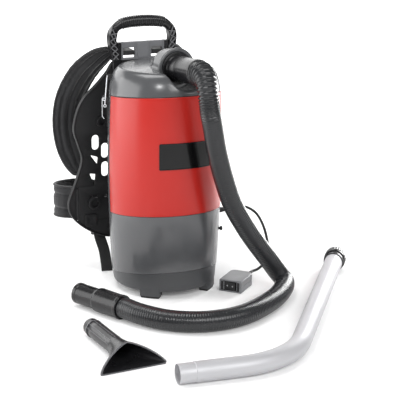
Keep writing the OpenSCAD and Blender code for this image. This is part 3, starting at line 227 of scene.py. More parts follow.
def slab(place, length, height, thick, edge, nu, nv, corner=0.0, relief=None):
    """Closed curved slab. place(u, v, depth) gives its points, with u and v in mm over the face. The face
    falls by a quarter circle within one edge radius of its border; relief(u, v) sinks it further."""
    a = np.radians([0, 22.5, 45, 67.5, 90])
    s, fall = edge * (1 - np.cos(a)), edge * (1 - np.sin(a))

    def line(total, n):
        inner = np.linspace(edge, total - edge, n)[1:-1]
        return (np.concatenate([s, inner, total - s[::-1]]),
                np.concatenate([fall, 0 * inner, fall[::-1]]))
    u, du = line(length, nu)
    v, dv = line(height, nv)
    U, V = np.meshgrid(u, v, indexing="ij")
    depth = np.maximum(du[:, None], dv[None, :])
    if corner:
        x, y = U - length / 2, V - height / 2
        cx, cy = length / 2 - corner, height / 2 - corner
        ox, oy = np.abs(x) - cx, np.abs(y) - cy
        both = (ox > 0) & (oy > 0)
        k = np.where(both, np.maximum(ox, oy) / np.maximum(np.hypot(ox, oy), 1e-9), 1.0)
        U = np.where(both, length / 2 + np.sign(x) * (cx + ox * k), U)
        V = np.where(both, height / 2 + np.sign(y) * (cy + oy * k), V)
    if relief is not None:
        depth = depth + relief(U, V)
    rows, cols = U.shape
    top = place(U, V, depth).reshape(-1, 3)
    low = place(U, V, np.full_like(U, thick)).reshape(-1, 3)
    faces = grid(rows, cols)
    n = rows * cols
    faces += [[q + n for q in f[::-1]] for f in faces]
    rim = list(range(cols)) + [i * cols + cols - 1 for i in range(1, rows)]
    rim += [(rows - 1) * cols + j for j in range(cols - 2, -1, -1)]
    rim += [i * cols for i in range(rows - 2, 0, -1)]
    faces += [[rim[k - 1], rim[k], rim[k] + n, rim[k - 1] + n] for k in range(len(rim))]
    return np.vstack([top, low]), faces


def joined(*shells):
    """Several shells as one list of points and faces."""
    points, faces, start = [], [], 0
    for p, f in shells:
        points.append(p)
        faces += [[k + start for k in q] for q in f]
        start += len(p)
    return np.vstack(points), faces


def mirrored(shell):
    """The same shell on the other side of the middle plane, with its faces turned the right way."""
    p, f = shell
    return p * np.array([-1, 1, 1]), [q[::-1] for q in f]


def make(name, shell, body, slot, finish=None, stands_for=(), sharp=35.0, uv=None, weld=True):
    """Puts a shell, given in mm, into a mesh; welds it, turns its faces outwards, and gives it its finish
    and body."""
    points, faces = shell
    mesh = bpy.data.meshes.new(name)
    mesh.from_pydata((np.asarray(points) * MM).tolist(), [], faces)
    if uv is not None:
        index = np.empty(len(mesh.loops), np.int32)
        mesh.loops.foreach_get("vertex_index", index)
        layer = mesh.uv_layers.new(name="surface")
        layer.data.foreach_set("uv", (np.asarray(uv)[index] * MM).astype(np.float32).ravel())
    if weld:
        bm = bmesh.new()
        bm.from_mesh(mesh)
        bmesh.ops.remove_doubles(bm, verts=bm.verts, dist=2e-6)
        bmesh.ops.recalc_face_normals(bm, faces=bm.faces)
        bm.to_mesh(mesh)
        bm.free()
    mesh.shade_smooth()
    if sharp:
        mesh.set_sharp_from_angle(angle=math.radians(sharp))
    piece = bpy.data.objects.new(name, mesh)
    bpy.context.scene.collection.objects.link(piece)
    mesh.materials.append(finish_for(finish or slot))
    if body:
        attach(piece, body)
    if stands_for:
        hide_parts(*stands_for)
    return piece


def flat_plate(outlines, y_mid, thick, edge):
    """Flat plate with holes and rounded edges: a filled curve given a depth and a round bevel, then laid
    upright at the distance y_mid. The outer outline comes first and the holes follow."""
    curve = bpy.data.curves.new("outline", "CURVE")
    curve.dimensions = "2D"
    curve.fill_mode = "BOTH"
    curve.extrude = (thick / 2 - edge) * MM
    curve.bevel_depth = edge * MM
    curve.bevel_resolution = 2
    curve.offset = -edge * MM
    for outline in outlines:
        p = np.asarray(outline, float) * MM
        spline = curve.splines.new("POLY")
        spline.points.add(len(p) - 1)
        spline.points.foreach_set("co", np.column_stack([p, np.zeros(len(p)), np.ones(len(p))]).ravel())
        spline.use_cyclic_u = True
    holder = bpy.data.objects.new("outline", curve)
    bpy.context.scene.collection.objects.link(holder)
    bpy.context.view_layer.update()
    mesh = bpy.data.meshes.new_from_object(holder.evaluated_get(bpy.context.evaluated_depsgraph_get()))
    p = np.empty(len(mesh.vertices) * 3)
    mesh.vertices.foreach_get("co", p)
    p = p.reshape(-1, 3)[:, [0, 2, 1]] / MM + np.array([0, y_mid, 0])
    faces = [list(f.vertices) for f in mesh.polygons]
    bpy.data.objects.remove(holder)
    bpy.data.curves.remove(curve)
    bpy.data.meshes.remove(mesh)
    return p, faces


def can_r(z):
    """Radius of the canister at a height: the widest radius less the square of the distance over the
    barrel's curve."""
    return BELLY_R - (z - BELLY_Z) ** 2 / (2 * BARREL_R)


def on_wall(angle, low, high, share, rise, depth):
    """Points of the canister's wall. The angle is from the front; the height is the share of the way
    between two sloping planes, each (height on the axis, slope), plus a rise; the depth is inwards from
    the outer surface."""
    a = np.radians(angle)
    z = np.full(np.broadcast(angle, share, depth).shape, BELLY_Z) * 1.0
    for _ in range(3):
        r = can_r(z) - depth
        z = sum(w * (z0 + r * np.cos(a) * math.tan(math.radians(t))) for w, (z0, t)
                in ((1 - share, low), (share, high))) + rise
    r = can_r(z) - depth
    return np.stack(np.broadcast_arrays(r * np.sin(a), -r * np.cos(a), z), -1)


def port_point(far):
    """Point on the port's axis at a distance from the canister's axis."""
    return PORT_AT + far * PORT_D


# ---------------------------------------------------------------- finishes
def linear(code):
    """Colour code turned from its sRGB values to linear ones."""
    v = np.array([int(code[i:i + 2], 16) for i in (1, 3, 5)]) / 255.0
    v = np.where(v <= 0.04045, v / 12.92, ((v + 0.055) / 1.055) ** 2.4)
    return (float(v[0]), float(v[1]), float(v[2]), 1.0)


def tint(code, k):
    """A colour, as a code or as linear values, made lighter or darker by the factor k."""
    c = linear(code) if isinstance(code, str) else code
    return (min(1, c[0] * k), min(1, c[1] * k), min(1, c[2] * k), 1.0)


def add(tree, kind, sockets=None, **settings):
    """Adds a node with its settings, and fills its sockets with values or with links from other nodes."""
    node = tree.nodes.new(kind)
    for key, value in settings.items():
        setattr(node, key, value)
    for key, value in (sockets or {}).items():
        if isinstance(value, bpy.types.NodeSocket):
            tree.links.new(value, node.inputs[key])
        else:
            node.inputs[key].default_value = value
    return node


def started(name, **sockets):
    """A material with only its main shader, whose sockets are given by name with _ for a space."""
    m = bpy.data.materials.new(name)
    m.use_nodes = True
    tree = m.node_tree
    tree.nodes.clear()
    shader = add(tree, "ShaderNodeBsdfPrincipled", {k.replace("_", " "): v for k, v in sockets.items()})
    add(tree, "ShaderNodeOutputMaterial", {"Surface": shader.outputs[0]})
    return m, tree, shader


def in_mm(tree, size, uv=False, stretch=(1, 1, 1)):
    """Coordinates in which one unit is `size` mm on the piece."""
    where = add(tree, "ShaderNodeTexCoord").outputs["UV" if uv else "Object"]
    scale = [way / (size * MM) for way in stretch]
    return add(tree, "ShaderNodeMapping", {"Vector": where, "Scale": scale}).outputs[0]


def moulded(name, code, rough, grain=0.8, deep=0.03, tone=0.10, wear=0.0, coat=0.0, soft=0.0, ior=1.5):
    """Injection-moulded plastic: grain of the tool's etched surface, slow drift of tone where the melt
    flowed, duller where hands rub it, and edges lightened by wear. soft rounds the edges of a piece from
    the frame."""
    m, tree, shader = started(name, IOR=ior, Coat_Weight=coat, Coat_Roughness=0.2)
    drift, rub, etch = (add(tree, "ShaderNodeTexNoise", {"Vector": in_mm(tree, size), "Scale": 1.0,
                                                         "Detail": fine}).outputs[0]
                        for size, fine in ((90, 2.0), (22, 4.0), (grain, 2.0)))
    colour = add(tree, "ShaderNodeMix", {0: drift, 6: tint(code, 1 - tone), 7: tint(code, 1 + tone)},
                 data_type="RGBA")
    if wear:
        point = add(tree, "ShaderNodeNewGeometry").outputs["Pointiness"]
        edge = add(tree, "ShaderNodeMapRange", {"Value": point, "From Min": 0.51, "From Max": 0.56,
                                                "To Max": wear})
        scuff = add(tree, "ShaderNodeMath", {0: edge.outputs[0], 1: rub}, operation="MULTIPLY")
        colour = add(tree, "ShaderNodeMix", {0: scuff.outputs[0], 6: colour.outputs[2], 7: tint(code, 2.2)},
                     data_type="RGBA")
    tree.links.new(colour.outputs[2], shader.inputs["Base Color"])
    gloss = add(tree, "ShaderNodeMapRange", {"Value": rub, "From Min": 0.3, "From Max": 0.7,
                                             "To Min": rough - 0.02, "To Max": rough + 0.04})
    tree.links.new(gloss.outputs[0], shader.inputs["Roughness"])
    bump = add(tree, "ShaderNodeBump", {"Height": etch, "Strength": 1.0, "Distance": deep * MM})
    if soft:
        tree.links.new(add(tree, "ShaderNodeBevel", {"Radius": soft * MM}, samples=4).outputs[0],
                       bump.inputs["Normal"])
    tree.links.new(bump.outputs[0], shader.inputs["Normal"])
    return m


def plated(name, code, rough, line=0.25, soft=0.25):
    """Plated steel: a metal whose fine polishing lines spread the highlight a little and whose film varies
    in tone."""
    m, tree, shader = started(name, Metallic=1.0)
    lines, film = (add(tree, "ShaderNodeTexNoise", {"Vector": where, "Scale": 1.0}).outputs[0]
                   for where in (in_mm(tree, line, stretch=(0.04, 1, 1)), in_mm(tree, 12)))
    colour = add(tree, "ShaderNodeMix", {0: film, 6: tint(code, 0.86), 7: tint(code, 1.06)}, data_type="RGBA")
    tree.links.new(colour.outputs[2], shader.inputs["Base Color"])
    gloss = add(tree, "ShaderNodeMapRange", {"Value": lines, "From Min": 0.3, "From Max": 0.7,
                                             "To Min": rough * 0.7, "To Max": rough * 1.4})
    tree.links.new(gloss.outputs[0], shader.inputs["Roughness"])
    bump = add(tree, "ShaderNodeBump", {"Height": lines, "Strength": 0.5, "Distance": 0.004 * MM})
    if soft:
        tree.links.new(add(tree, "ShaderNodeBevel", {"Radius": soft * MM}, samples=4).outputs[0],
                       bump.inputs["Normal"])
    tree.links.new(bump.outputs[0], shader.inputs["Normal"])
    return m


def brushed_tube(name, code):
    """Drawn, brushed and clear-anodised aluminium tube: streaks along the tube, 1.2 mm apart, drawn
    coarser than real so that they show. The milky film scatters most of the light, so only part of it is
    mirrored as metal."""
    m, tree, shader = started(name, Metallic=0.4)
    streak, cloud = (add(tree, "ShaderNodeTexNoise",
                         {"Vector": where, "Scale": 1.0, "Detail": 3.0}).outputs[0]
                     for where in (in_mm(tree, 1.2, uv=True, stretch=(0.012, 1, 1)), in_mm(tree, 70)))
    colour = add(tree, "ShaderNodeMix", {0: streak, 6: tint(code, 0.9), 7: tint(code, 1.05)},
                 data_type="RGBA")
    tree.links.new(colour.outputs[2], shader.inputs["Base Color"])
    both = add(tree, "ShaderNodeMath", {0: streak, 1: cloud}, operation="ADD")
    gloss = add(tree, "ShaderNodeMapRange", {"Value": both.outputs[0], "From Min": 0.7, "From Max": 1.3,
                                             "To Min": 0.46, "To Max": 0.60})
    tree.links.new(gloss.outputs[0], shader.inputs["Roughness"])
    bump = add(tree, "ShaderNodeBump", {"Height": streak, "Strength": 0.6, "Distance": 0.006 * MM})
    tree.links.new(bump.outputs[0], shader.inputs["Normal"])
    return m


def woven(name, code, pitch, deep, uv=True, sheen=0.3, rough=0.85, tone=0.35):
    """Woven yarn: warp and weft are two crossed sine ridges one pitch apart, over and under in turn, with a
    painted highlight making the yarn lighter on its crowns and painted shade darker between. The yarn is
    drawn coarser than a real 0.5 mm so that it shows."""
    m, tree, shader = started(name, Sheen_Weight=sheen, Sheen_Roughness=0.45, Roughness=rough)
    where = in_mm(tree, pitch, uv)
    warp, weft = (add(tree, "ShaderNodeTexWave",
                      {"Vector": where, "Scale": 0.31416, "Distortion": 0.4, "Detail": 1.0},
                      bands_direction=way).outputs["Fac"] for way in ("X", "Y" if uv else "Z"))
    yarn = add(tree, "ShaderNodeMath", {0: warp, 1: weft}, operation="MAXIMUM").outputs[0]
    cloud = add(tree, "ShaderNodeTexNoise", {"Vector": in_mm(tree, 35), "Scale": 1.0,
                                             "Detail": 3.0}).outputs[0]
    # the yarn's crowns are painted lighter and the hollows between yarns darker: painted highlight and shade
    # that follow the weave's relief
    share = add(tree, "ShaderNodeMath", {0: yarn, 1: cloud}, operation="MULTIPLY").outputs[0]
    colour = add(tree, "ShaderNodeMix", {0: share, 6: tint(code, 1 - tone), 7: tint(code, 1 + 2.5 * tone)},
                 data_type="RGBA")
    tree.links.new(colour.outputs[2], shader.inputs["Base Color"])
    bump = add(tree, "ShaderNodeBump", {"Height": yarn, "Strength": 1.0, "Distance": deep * MM})
    tree.links.new(bump.outputs[0], shader.inputs["Normal"])
    return m


def fibrous(name, code, size, deep, rough=0.9, tone=0.2, subsurface=0.0):
    """Pressed or felted fibres: cloudy clumps of one size, lighter and darker, in low relief."""
    m, tree, shader = started(name, Roughness=rough, Subsurface_Weight=subsurface, Subsurface_Scale=0.002)
    clump = add(tree, "ShaderNodeTexNoise", {"Vector": in_mm(tree, size), "Scale": 1.0, "Detail": 5.0,
                                             "Roughness": 0.65}).outputs[0]
    share = add(tree, "ShaderNodeMapRange", {"Value": clump, "From Min": 0.3, "From Max": 0.7}).outputs[0]
    colour = add(tree, "ShaderNodeMix", {0: share, 6: tint(code, 1 - tone), 7: tint(code, 1 + tone)},
                 data_type="RGBA")
    tree.links.new(colour.outputs[2], shader.inputs["Base Color"])
    bump = add(tree, "ShaderNodeBump", {"Height": clump, "Strength": 1.0, "Distance": deep * MM})
    tree.links.new(bump.outputs[0], shader.inputs["Normal"])
    return m


def chosen(name):
    """A colour from the settings."""
    return tuple(getattr(bpy.context.scene.vacuum_colours, name))


# Each finish is named for what the real one is; the comment says what the eye gets from it.
FINISHES = {
    # ABS, moulded in a polished tool: deep red with a soft, clear highlight
    "red_cover": lambda: moulded("red ABS, polished mould", chosen("cover"), 0.30, 1.6, 0.004, 0.04,
                                 coat=0.15, ior=1.41),
    # ABS, moulded with a fine etch: mid grey, satin, broad soft highlights
    "grey_shell": lambda: moulded("grey ABS, fine etch", chosen("shell"), 0.22, 0.9, 0.006, 0.05, ior=1.65),
    "grey_shell cad": lambda: moulded("grey ABS, fine etch, frame piece", chosen("shell"), 0.22, 0.9, 0.006,
                                      0.05, soft=0.8, ior=1.65),
    # ABS, coarser etch: a shade darker and duller
    "base_grey": lambda: moulded("dark grey ABS, etched", chosen("base"), 0.34, 1.0, 0.03, 0.06, soft=0.9),
    # the same black polypropylene on ribs that stand up, painted greyer and brighter than the core: a painted
    # highlight on their tops and edges
    "crossed_rib_painted_highlight": lambda: moulded("black polypropylene, worn rib tops", "#77777a", 0.35, 1.0, 0.01, 0.15),
    "tool_rib_painted_highlight": lambda: moulded("black polypropylene, polished ribs", "#58585b", 0.3, 1.0, 0.01, 0.12),
    # polypropylene, moulded thin and handled a lot: a shade greyer, with clear narrow highlights
    "tool_black": lambda: moulded("black polypropylene, thin wall", "#1e1e20", 0.28, 1.0, 0.012, 0.12,
                                  wear=0.25),
    # polypropylene sheet part, coarse etch against the wearer's back: matt, with no clear highlight
    "plate_etched": lambda: moulded("black polypropylene, coarse etch", chosen("plastic"), 0.5, 1.0, 0.02,
                                    0.12, wear=0.25),
    # polycarbonate film on a plate: flat black field with a satin sheen
    "plate_black": lambda: moulded("black polycarbonate plate", "#0c0c0d", 0.16, 1.2, 0.003, 0.05, ior=1.4),
    # moulded rubber: dull, faintly dusty
    "rubber": lambda: moulded("black rubber, moulded", "#1d1d1e", 0.72, 0.6, 0.05, 0.15, soft=0.6),
    # zinc-plated steel: pale, slightly dull metal
    "steel": lambda: plated("zinc-plated steel", "#b9bcc1", 0.32),
    # bright chrome plate: mirror that picks up the room
    "chromed": lambda: plated("chromed steel", "#d4d6d9", 0.10, soft=0.35),
    # polypropylene, moulded with an etch: black with a grey, satin edge light
    "black_plastic": lambda: moulded("black polypropylene, etched", chosen("plastic"), 0.25, 1.0, 0.012,
                                     0.12, wear=0.25),
    "black_plastic cad": lambda: moulded("black polypropylene, frame piece", chosen("plastic"), 0.25, 1.0,
                                         0.012, 0.12, soft=0.8),
    # ABS, mid grey, matt etch
    "mid_plastic": lambda: moulded("mid grey ABS, matt", "#77787b", 0.36, 0.9, 0.02, 0.06),
    "mid_plastic cad": lambda: moulded("mid grey ABS, frame piece", "#77787b", 0.50, 0.9, 0.04, 0.07,
                                       soft=0.9),
    # woven nylon over foam: matt black, faint sheen where it turns away
    "fabric_black": lambda: woven("black woven nylon", chosen("fabric"), 2.4, 0.22, uv=False, sheen=0.35,
                                  tone=0.3),
    # polyester webbing: tight ribs across the strap
    "webbing": lambda: woven("black polyester webbing", "#1c1c1d", 2.0, 0.3, uv=True, sheen=0.25, rough=0.7),
    # grosgrain tape rolled over a pad's raw edge: fine ribs, a little shinier than the fabric
    "tape": lambda: woven("black grosgrain tape", "#19191b", 1.6, 0.18, uv=False, sheen=0.2, rough=0.6,
                          tone=0.25),
    # spun polyester thread: a shade lighter than the fabric that it holds
    "thread": lambda: fibrous("dark polyester thread", "#3a3a3d", 0.8, 0.05, 0.7, 0.15),
    # stretch vinyl over a coil: ribbed, satin, dusty grey lights on the crowns
    "hose_black": lambda: moulded("black vinyl hose", "#27282a", 0.24, 1.5, 0.006, 0.08),
    # drawn aluminium, brushed
    "alloy": lambda: brushed_tube("brushed aluminium tube", chosen("alloy")),
    "alloy cast": lambda: plated("die-cast aluminium", "#c3c5c8", 0.4),
    # polyester filter cloth: off-white, soft, visible yarn
    "cloth": lambda: woven("off-white filter cloth", "#d9d5ca", 2.2, 0.2, uv=False, sheen=0.2, tone=0.1),
    # kraft filter paper: warm brown with fibre clumps
    "paper": lambda: fibrous("brown filter paper", "#c9b08a", 5, 0.12, 0.85, 0.1),
    # pressed grey-brown card
    "card": lambda: fibrous("pressed card", "#b8935f", 3, 0.05, 0.8, 0.08),
    # enamelled copper over a steel stack
    "winding": lambda: plated("copper winding", "#8a5a32", 0.35, 0.8),
    # open-cell foam: grey, pitted
    "foam": lambda: fibrous("grey filter foam", "#6f7274", 2.2, 0.6, 0.95, 0.3),
    # flexible vinyl sheath: black, slightly shiny
    "cord_black": lambda: moulded("black vinyl cord", "#1a1a1b", 0.42, 0.8, 0.02, 0.1),
    # pale ABS marks pressed into the rocker
    "pale_mark": lambda: moulded("pale grey ABS mark", "#a9aaac", 0.5, 0.8, 0.02, 0.05),
}


MADE = {}


def finish_for(key):
    """The material of a finish, made when it is first needed."""
    if key not in MADE:
        MADE[key] = FINISHES[key]()
    return MADE[key]


# ---------------------------------------------------------------- camera, floor and light
# the focal length and the width of the view in pixels, the camera's place in m, and its turns in radians
FOCAL, VIEW_WIDE, FILM_MM = 1389.49, 400, 36
CAMERA_AT, YAW, PITCH, ROLL = (-1.1026, -2.6881, 1.0193), -0.41589, 0.27838, 0.01153
WHITE = (1, 1, 1, 1)
# the floor glows for the camera from GLOW_FROM to GLOW_FULL metres away, so that it runs out into the
# white room
GLOW_FROM, GLOW_FULL = 0.6, 2.6


def build_stage(s):
    """Camera, white room, pale floor that keeps the shadow, and six soft lamps."""
    scene = bpy.context.scene
    camera = bpy.data.cameras.new("view")
    camera.sensor_width = FILM_MM
    camera.lens = FILM_MM * FOCAL / VIEW_WIDE
    camera.clip_end = 30
    holder = bpy.data.objects.new("view", camera)
    scene.collection.objects.link(holder)
    forward = np.array([-math.sin(YAW) * math.cos(PITCH), math.cos(YAW) * math.cos(PITCH), -math.sin(PITCH)])
    level = np.array([math.cos(YAW), math.sin(YAW), 0.0])
    raised = np.cross(level, forward)
    right = math.cos(ROLL) * level + math.sin(ROLL) * raised
    up = -math.sin(ROLL) * level + math.cos(ROLL) * raised
    holder.matrix_world = Matrix.Translation(CAMERA_AT) @ Matrix(
        np.column_stack([right, up, -forward]).tolist()).to_4x4()
    scene.camera = holder
    scene.view_settings.view_transform = "Standard"

    world = bpy.data.worlds.new("studio")
    scene.world = world
    world.use_nodes = True
    tree = world.node_tree
    tree.nodes.clear()
    path = add(tree, "ShaderNodeLightPath").outputs
    plain = add(tree, "ShaderNodeBackground", {"Color": WHITE, "Strength": s.room_light}).outputs[0]
    mirror = add(tree, "ShaderNodeBackground", {"Color": WHITE, "Strength": s.mirror_light}).outputs[0]
    white = add(tree, "ShaderNodeBackground", {"Color": WHITE, "Strength": 1.0}).outputs[0]
    clear = add(tree, "ShaderNodeMath", {0: path["Is Glossy Ray"], 1: path["Is Transmission Ray"]},
                operation="MAXIMUM").outputs[0]
    shade = add(tree, "ShaderNodeMixShader", {0: clear, 1: plain, 2: mirror}).outputs[0]
    shade = add(tree, "ShaderNodeMixShader", {0: path["Is Camera Ray"], 1: shade, 2: white}).outputs[0]
    add(tree, "ShaderNodeOutputWorld", {"Surface": shade})

    m, tree, shader = started("pale paper floor", Roughness=0.9)
    drift, grit = (add(tree, "ShaderNodeTexNoise", {"Vector": in_mm(tree, size), "Scale": 1.0}).outputs[0]
                   for size in (400, 3))
    colour = add(tree, "ShaderNodeMix", {0: drift, 6: linear("#f4f4f4"), 7: linear("#f8f8f8")},
                 data_type="RGBA")
    tree.links.new(colour.outputs[2], shader.inputs["Base Color"])
    bump = add(tree, "ShaderNodeBump", {"Height": grit, "Distance": 0.02 * MM})
    tree.links.new(bump.outputs[0], shader.inputs["Normal"])
    path = add(tree, "ShaderNodeLightPath").outputs
    away = add(tree, "ShaderNodeVectorMath", {0: add(tree, "ShaderNodeTexCoord").outputs["Object"]},
               operation="LENGTH").outputs["Value"]
    lift = add(tree, "ShaderNodeMapRange", {"Value": away, "From Min": GLOW_FROM, "From Max": GLOW_FULL,
                                            "To Min": s.floor_glow, "To Max": 1.0}).outputs[0]
    glow = add(tree, "ShaderNodeEmission", {"Color": WHITE, "Strength": lift}).outputs[0]
    both = add(tree, "ShaderNodeAddShader", {0: shader.outputs[0], 1: glow}).outputs[0]
    seen = add(tree, "ShaderNodeMixShader",
               {0: path["Is Camera Ray"], 1: shader.outputs[0], 2: both}).outputs[0]
    out = next(n for n in tree.nodes if n.bl_idname == "ShaderNodeOutputMaterial")
    tree.links.new(seen, out.inputs["Surface"])
    mesh = bpy.data.meshes.new("floor")
    u, v = np.meshgrid(np.linspace(-9, 9, 7), np.linspace(-5, 13, 7), indexing="ij")
    mesh.from_pydata(np.stack([u, v, 0 * u - 0.0004], -1).reshape(-1, 3).tolist(), [], grid(7, 7))
    floor = bpy.data.objects.new("floor", mesh)
    mesh.materials.append(m)
    scene.collection.objects.link(floor)

    # each lamp: name, place, the height on the canister's axis that it aims at, size and power
    for name, place, aim, size, power in (
            ("left_window", (-1.45, 0.39, 0.56), 0.35, (1.7, 1.06), s.left_power),
            ("ceiling", (-0.7, 0.2, 2.7), 0.3, (1.3, 1.3), s.top_power),
            ("right_strip", (1.15, 0.44, 0.43), 0.35, (0.3, 0.8), s.right_power),
            ("back_window", (-0.3, 3.0, 1.45), 0.4, (5.2, 1.5), s.back_power),
            ("front", (0.7, -2.95, 1.95), 0.25, (2.8, 1.3), s.front_power),
            ("key", (-1.7, -2.5, 1.95), 0.25, (0.45, 0.27), s.key_power)):
        lamp = bpy.data.lights.new(name, "AREA")
        lamp.shape = "RECTANGLE"
        lamp.size, lamp.size_y = size
        lamp.energy = power
        rig = bpy.data.objects.new(name, lamp)
        scene.collection.objects.link(rig)
        rig.visible_camera = False
        ahead = unit(np.array([0, 0, aim]) - np.array(place))
        right = unit(np.cross(ahead, [0, 0, 1]))
        rig.matrix_world = Matrix.Translation(place) @ Matrix(
            np.column_stack([right, np.cross(right, ahead), -ahead]).tolist()).to_4x4()


# ---------------------------------------------------------------- hose and cord
HOSE_R, HOSE_BORE, FLARE_R = 21.5, 17.5, 27.0
# lengths from the cuff: the radius shrinks over the first, the ribs stay wide to the second and then close
# up over the third, and the deep grooves end at the fourth, having faded over the fifth
FLARE_RUN, WIDE_TO, CLOSING, DEEP_TO, FADING = 70, 62, 26, 120, 36
GROOVE, DEEP_GROOVE = 0.45, 2.7
HOSE_POINTS = [[16, -166, 490.5], [15, -181, 481], [14, -191, 465], [16, -194, 445], [20, -193, 420],
               [28, -189, 390], [41, -181, 338], [61, -172, 278], [87, -162, 215], [123, -152, 157],
               [154, -146, 114], [185, -141, 75], [208, -139, 44], [219, -147, 28], [214, -165, 22],
               [196, -192, 21.5], [160, -232, 21.5], [108, -272, 21.5], [55, -301, 21.5], [0, -312, 21.5],
               [-55, -303, 21.5], [-105, -272, 21.5], [-142, -226, 23], [-158, -196, 25], [-165, -181, 25]]
END_AT = np.array([-165.0, -181.0, 25.0])
END_DIR = unit(np.array([-7.0, 15.0, 0.0]))


def build_hose(s):
    """Ribbed hose: each ring's radius is the hose's own less a groove between ribs. The ribs are wide and
    far apart on the flare next to the cuff, and fine beyond it."""
    start = port_point(PORT_REACH + 92 + GAP)
    line = smooth_line([start, start + 8 * PORT_D] + HOSE_POINTS, 6)
    total = running(line)[-1]
    edges = [0.0]
    while edges[-1] < total - 3:
        at = edges[-1]
        edges.append(at + s.flare_pitch + (s.rib_pitch - s.flare_pitch)
                     * min(1, max(0, (at - WIDE_TO) / CLOSING)))
    edges = np.array(edges) * (total / edges[-1])
    share = np.array([0, 0.16, 0.30, 0.42, 0.58, 0.70, 0.84])
    at = np.concatenate([(edges[:-1, None] + np.diff(edges)[:, None] * share).ravel(), [total]])
    crown = np.concatenate([np.tile(0.5 - 0.5 * np.cos(2 * np.pi * share), len(edges) - 1), [0]])
    flare = np.clip((DEEP_TO - at) / FADING, 0, 1)
    crown = crown ** (0.7 + 1.5 * flare)
    deep = GROOVE + DEEP_GROOVE * flare
    radius = HOSE_R + (FLARE_R - HOSE_R) * np.clip(1 - at / FLARE_RUN, 0, 1) ** 1.5
    path = at_lengths(line, at)
    t, side = carried(path, [1, 0, 0])
    t[0], t[-1] = PORT_D, END_DIR
    side = unit(side - np.sum(side * t, 1, keepdims=True) * t)
    r = radius - deep * (1 - crown)
    r[0], r[-1] = 26.4, 21.0
    # the bore turns in at both ends and runs a little way back
    tail = np.array([0, 1, 2, 3])
    back = np.array([0, 4, 8, 12.0])[:, None]
    path = np.vstack([path[0] + back[::-1] * PORT_D, path, path[-1] - back * END_DIR])
    t = np.vstack([t[0] + 0 * tail[:, None], t, t[-1] + 0 * tail[:, None]])
    side = np.vstack([side[0] + 0 * tail[:, None], side, side[-1] + 0 * tail[:, None]])
    r = np.concatenate([HOSE_BORE + 0 * tail, r, HOSE_BORE + 0 * tail])
    sides = 36
    o = np.cross(side, t)
    a = 2 * np.pi * np.arange(sides) / sides
    rings = path[:, None] + r[:, None, None] * (np.cos(a)[:, None] * side[:, None]
                                                + np.sin(a)[:, None] * o[:, None])
    hose = make("hose_ribbed", skin(rings), None, "hose_black", stands_for=["hose"], sharp=0)
    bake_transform(hose)


def build_end_cuff():
    """Stepped cuff at the hose's end: one turned profile with a low flange, a shoulder, a nose and a
    rolled mouth."""
    outer = [[19.4, 0], [25, 0], [25.6, 1], [25.6, 6], [24.8, 7.5], [25, 40], [25.4, 62], [25.4, 66],
             [24.6, 69],
             [21.8, 72], [21.6, 76], [21.6, 120], [22.3, 121.5], [22.3, 129], [21.2, 130], [19.2, 130]]
    profile = np.vstack([filleted(outer,
                                  [0.4, 0.8, 0.8, 0.8, 0.8, 3, 1, 1, 1.5, 1.2, 1.5, 0.6, 0.6, 0.8, 0.4, 0.3],
                                  loop=False), [[19.2, 100], [19.2, 60], [19.2, 2]]])
    make("hose_end_cuff_turned", turned(profile, END_AT + GAP * END_DIR, END_DIR, 72), "hose_end_cuff",
         "hose_black", finish="black_plastic", stands_for=["hose_end_cuff"], sharp=45)


BOX_AT, BOX_TURN = np.array([107.0, -116.0, 0.0]), math.radians(43)


def in_box(points):
    """Points of the switch box's own frame, turned about the vertical and moved to the box's place."""
    return placed(points, BOX_AT, BOX_TURN)


def cord_line():
    """Route of the cord from the gland's tip down to the switch box's strain relief."""
    gland = can_r(CORD_Z) + 3
    start = np.array([gland + 22, 0, CORD_Z])
    inner = [[184, -2, 155], [202, -6, 150], [218, -12, 137], [229, -19, 116], [235, -27, 92], [236, -36, 68],
             [231, -43, 46], [221, -46, 29], [207, -47, 19]]
    tail = in_box([[106, -10, 17], [100, -10, 17], [94, -10, 17]])
    middle = smooth_line([start + [6, 0, 0], start + [12, 0, 0.2]] + inner + [tail[0], tail[1]], 3)
    return np.vstack([start, middle, tail[2]])


def build_switch_cord():
    """Round cord: a circle carried along the route without twist."""
    line = cord_line()
    fine = smooth_line(line, 4)
    cord = make("switch_cord_round", swept(fine, circle(3.0, 16), [0, 1, 0]), "canister", "hose_black",
                finish="cord_black", stands_for=["switch_cord"], sharp=0)
    running(fine)[-1] * MM


def build_switch_relief():
    """Strain relief: a cone with grooves, from 5 mm down to 3.8, turned about the cord at the box."""
    at, d = in_box([74, -10, 17]), in_box([75, -10, 17]) - in_box([74, -10, 17])
    z = np.linspace(0, 20, 41)
    r = 5 - 1.2 * z / 20 - 0.55 * (np.sin(z / 20 * 2 * np.pi * 6 - 0.6) > 0.3) * (z > 1.5) * (z < 19)
    profile = np.vstack([[[3.05, -5], [5, -5]], np.column_stack([r, z]), [[3.05, 20]]])
    make("switch_relief_ribbed", turned(profile, at, d, 32), "canister", "rubber",
         stands_for=["switch_relief"], sharp=30)


# ---------------------------------------------------------------- canister
SEAM_LOW, SEAM_HIGH, COVER_EDGE = (BASE_SEAM, BASE_TILT), (LID_SEAM, BAND_TILT), (COVER_LOW, BAND_TILT)


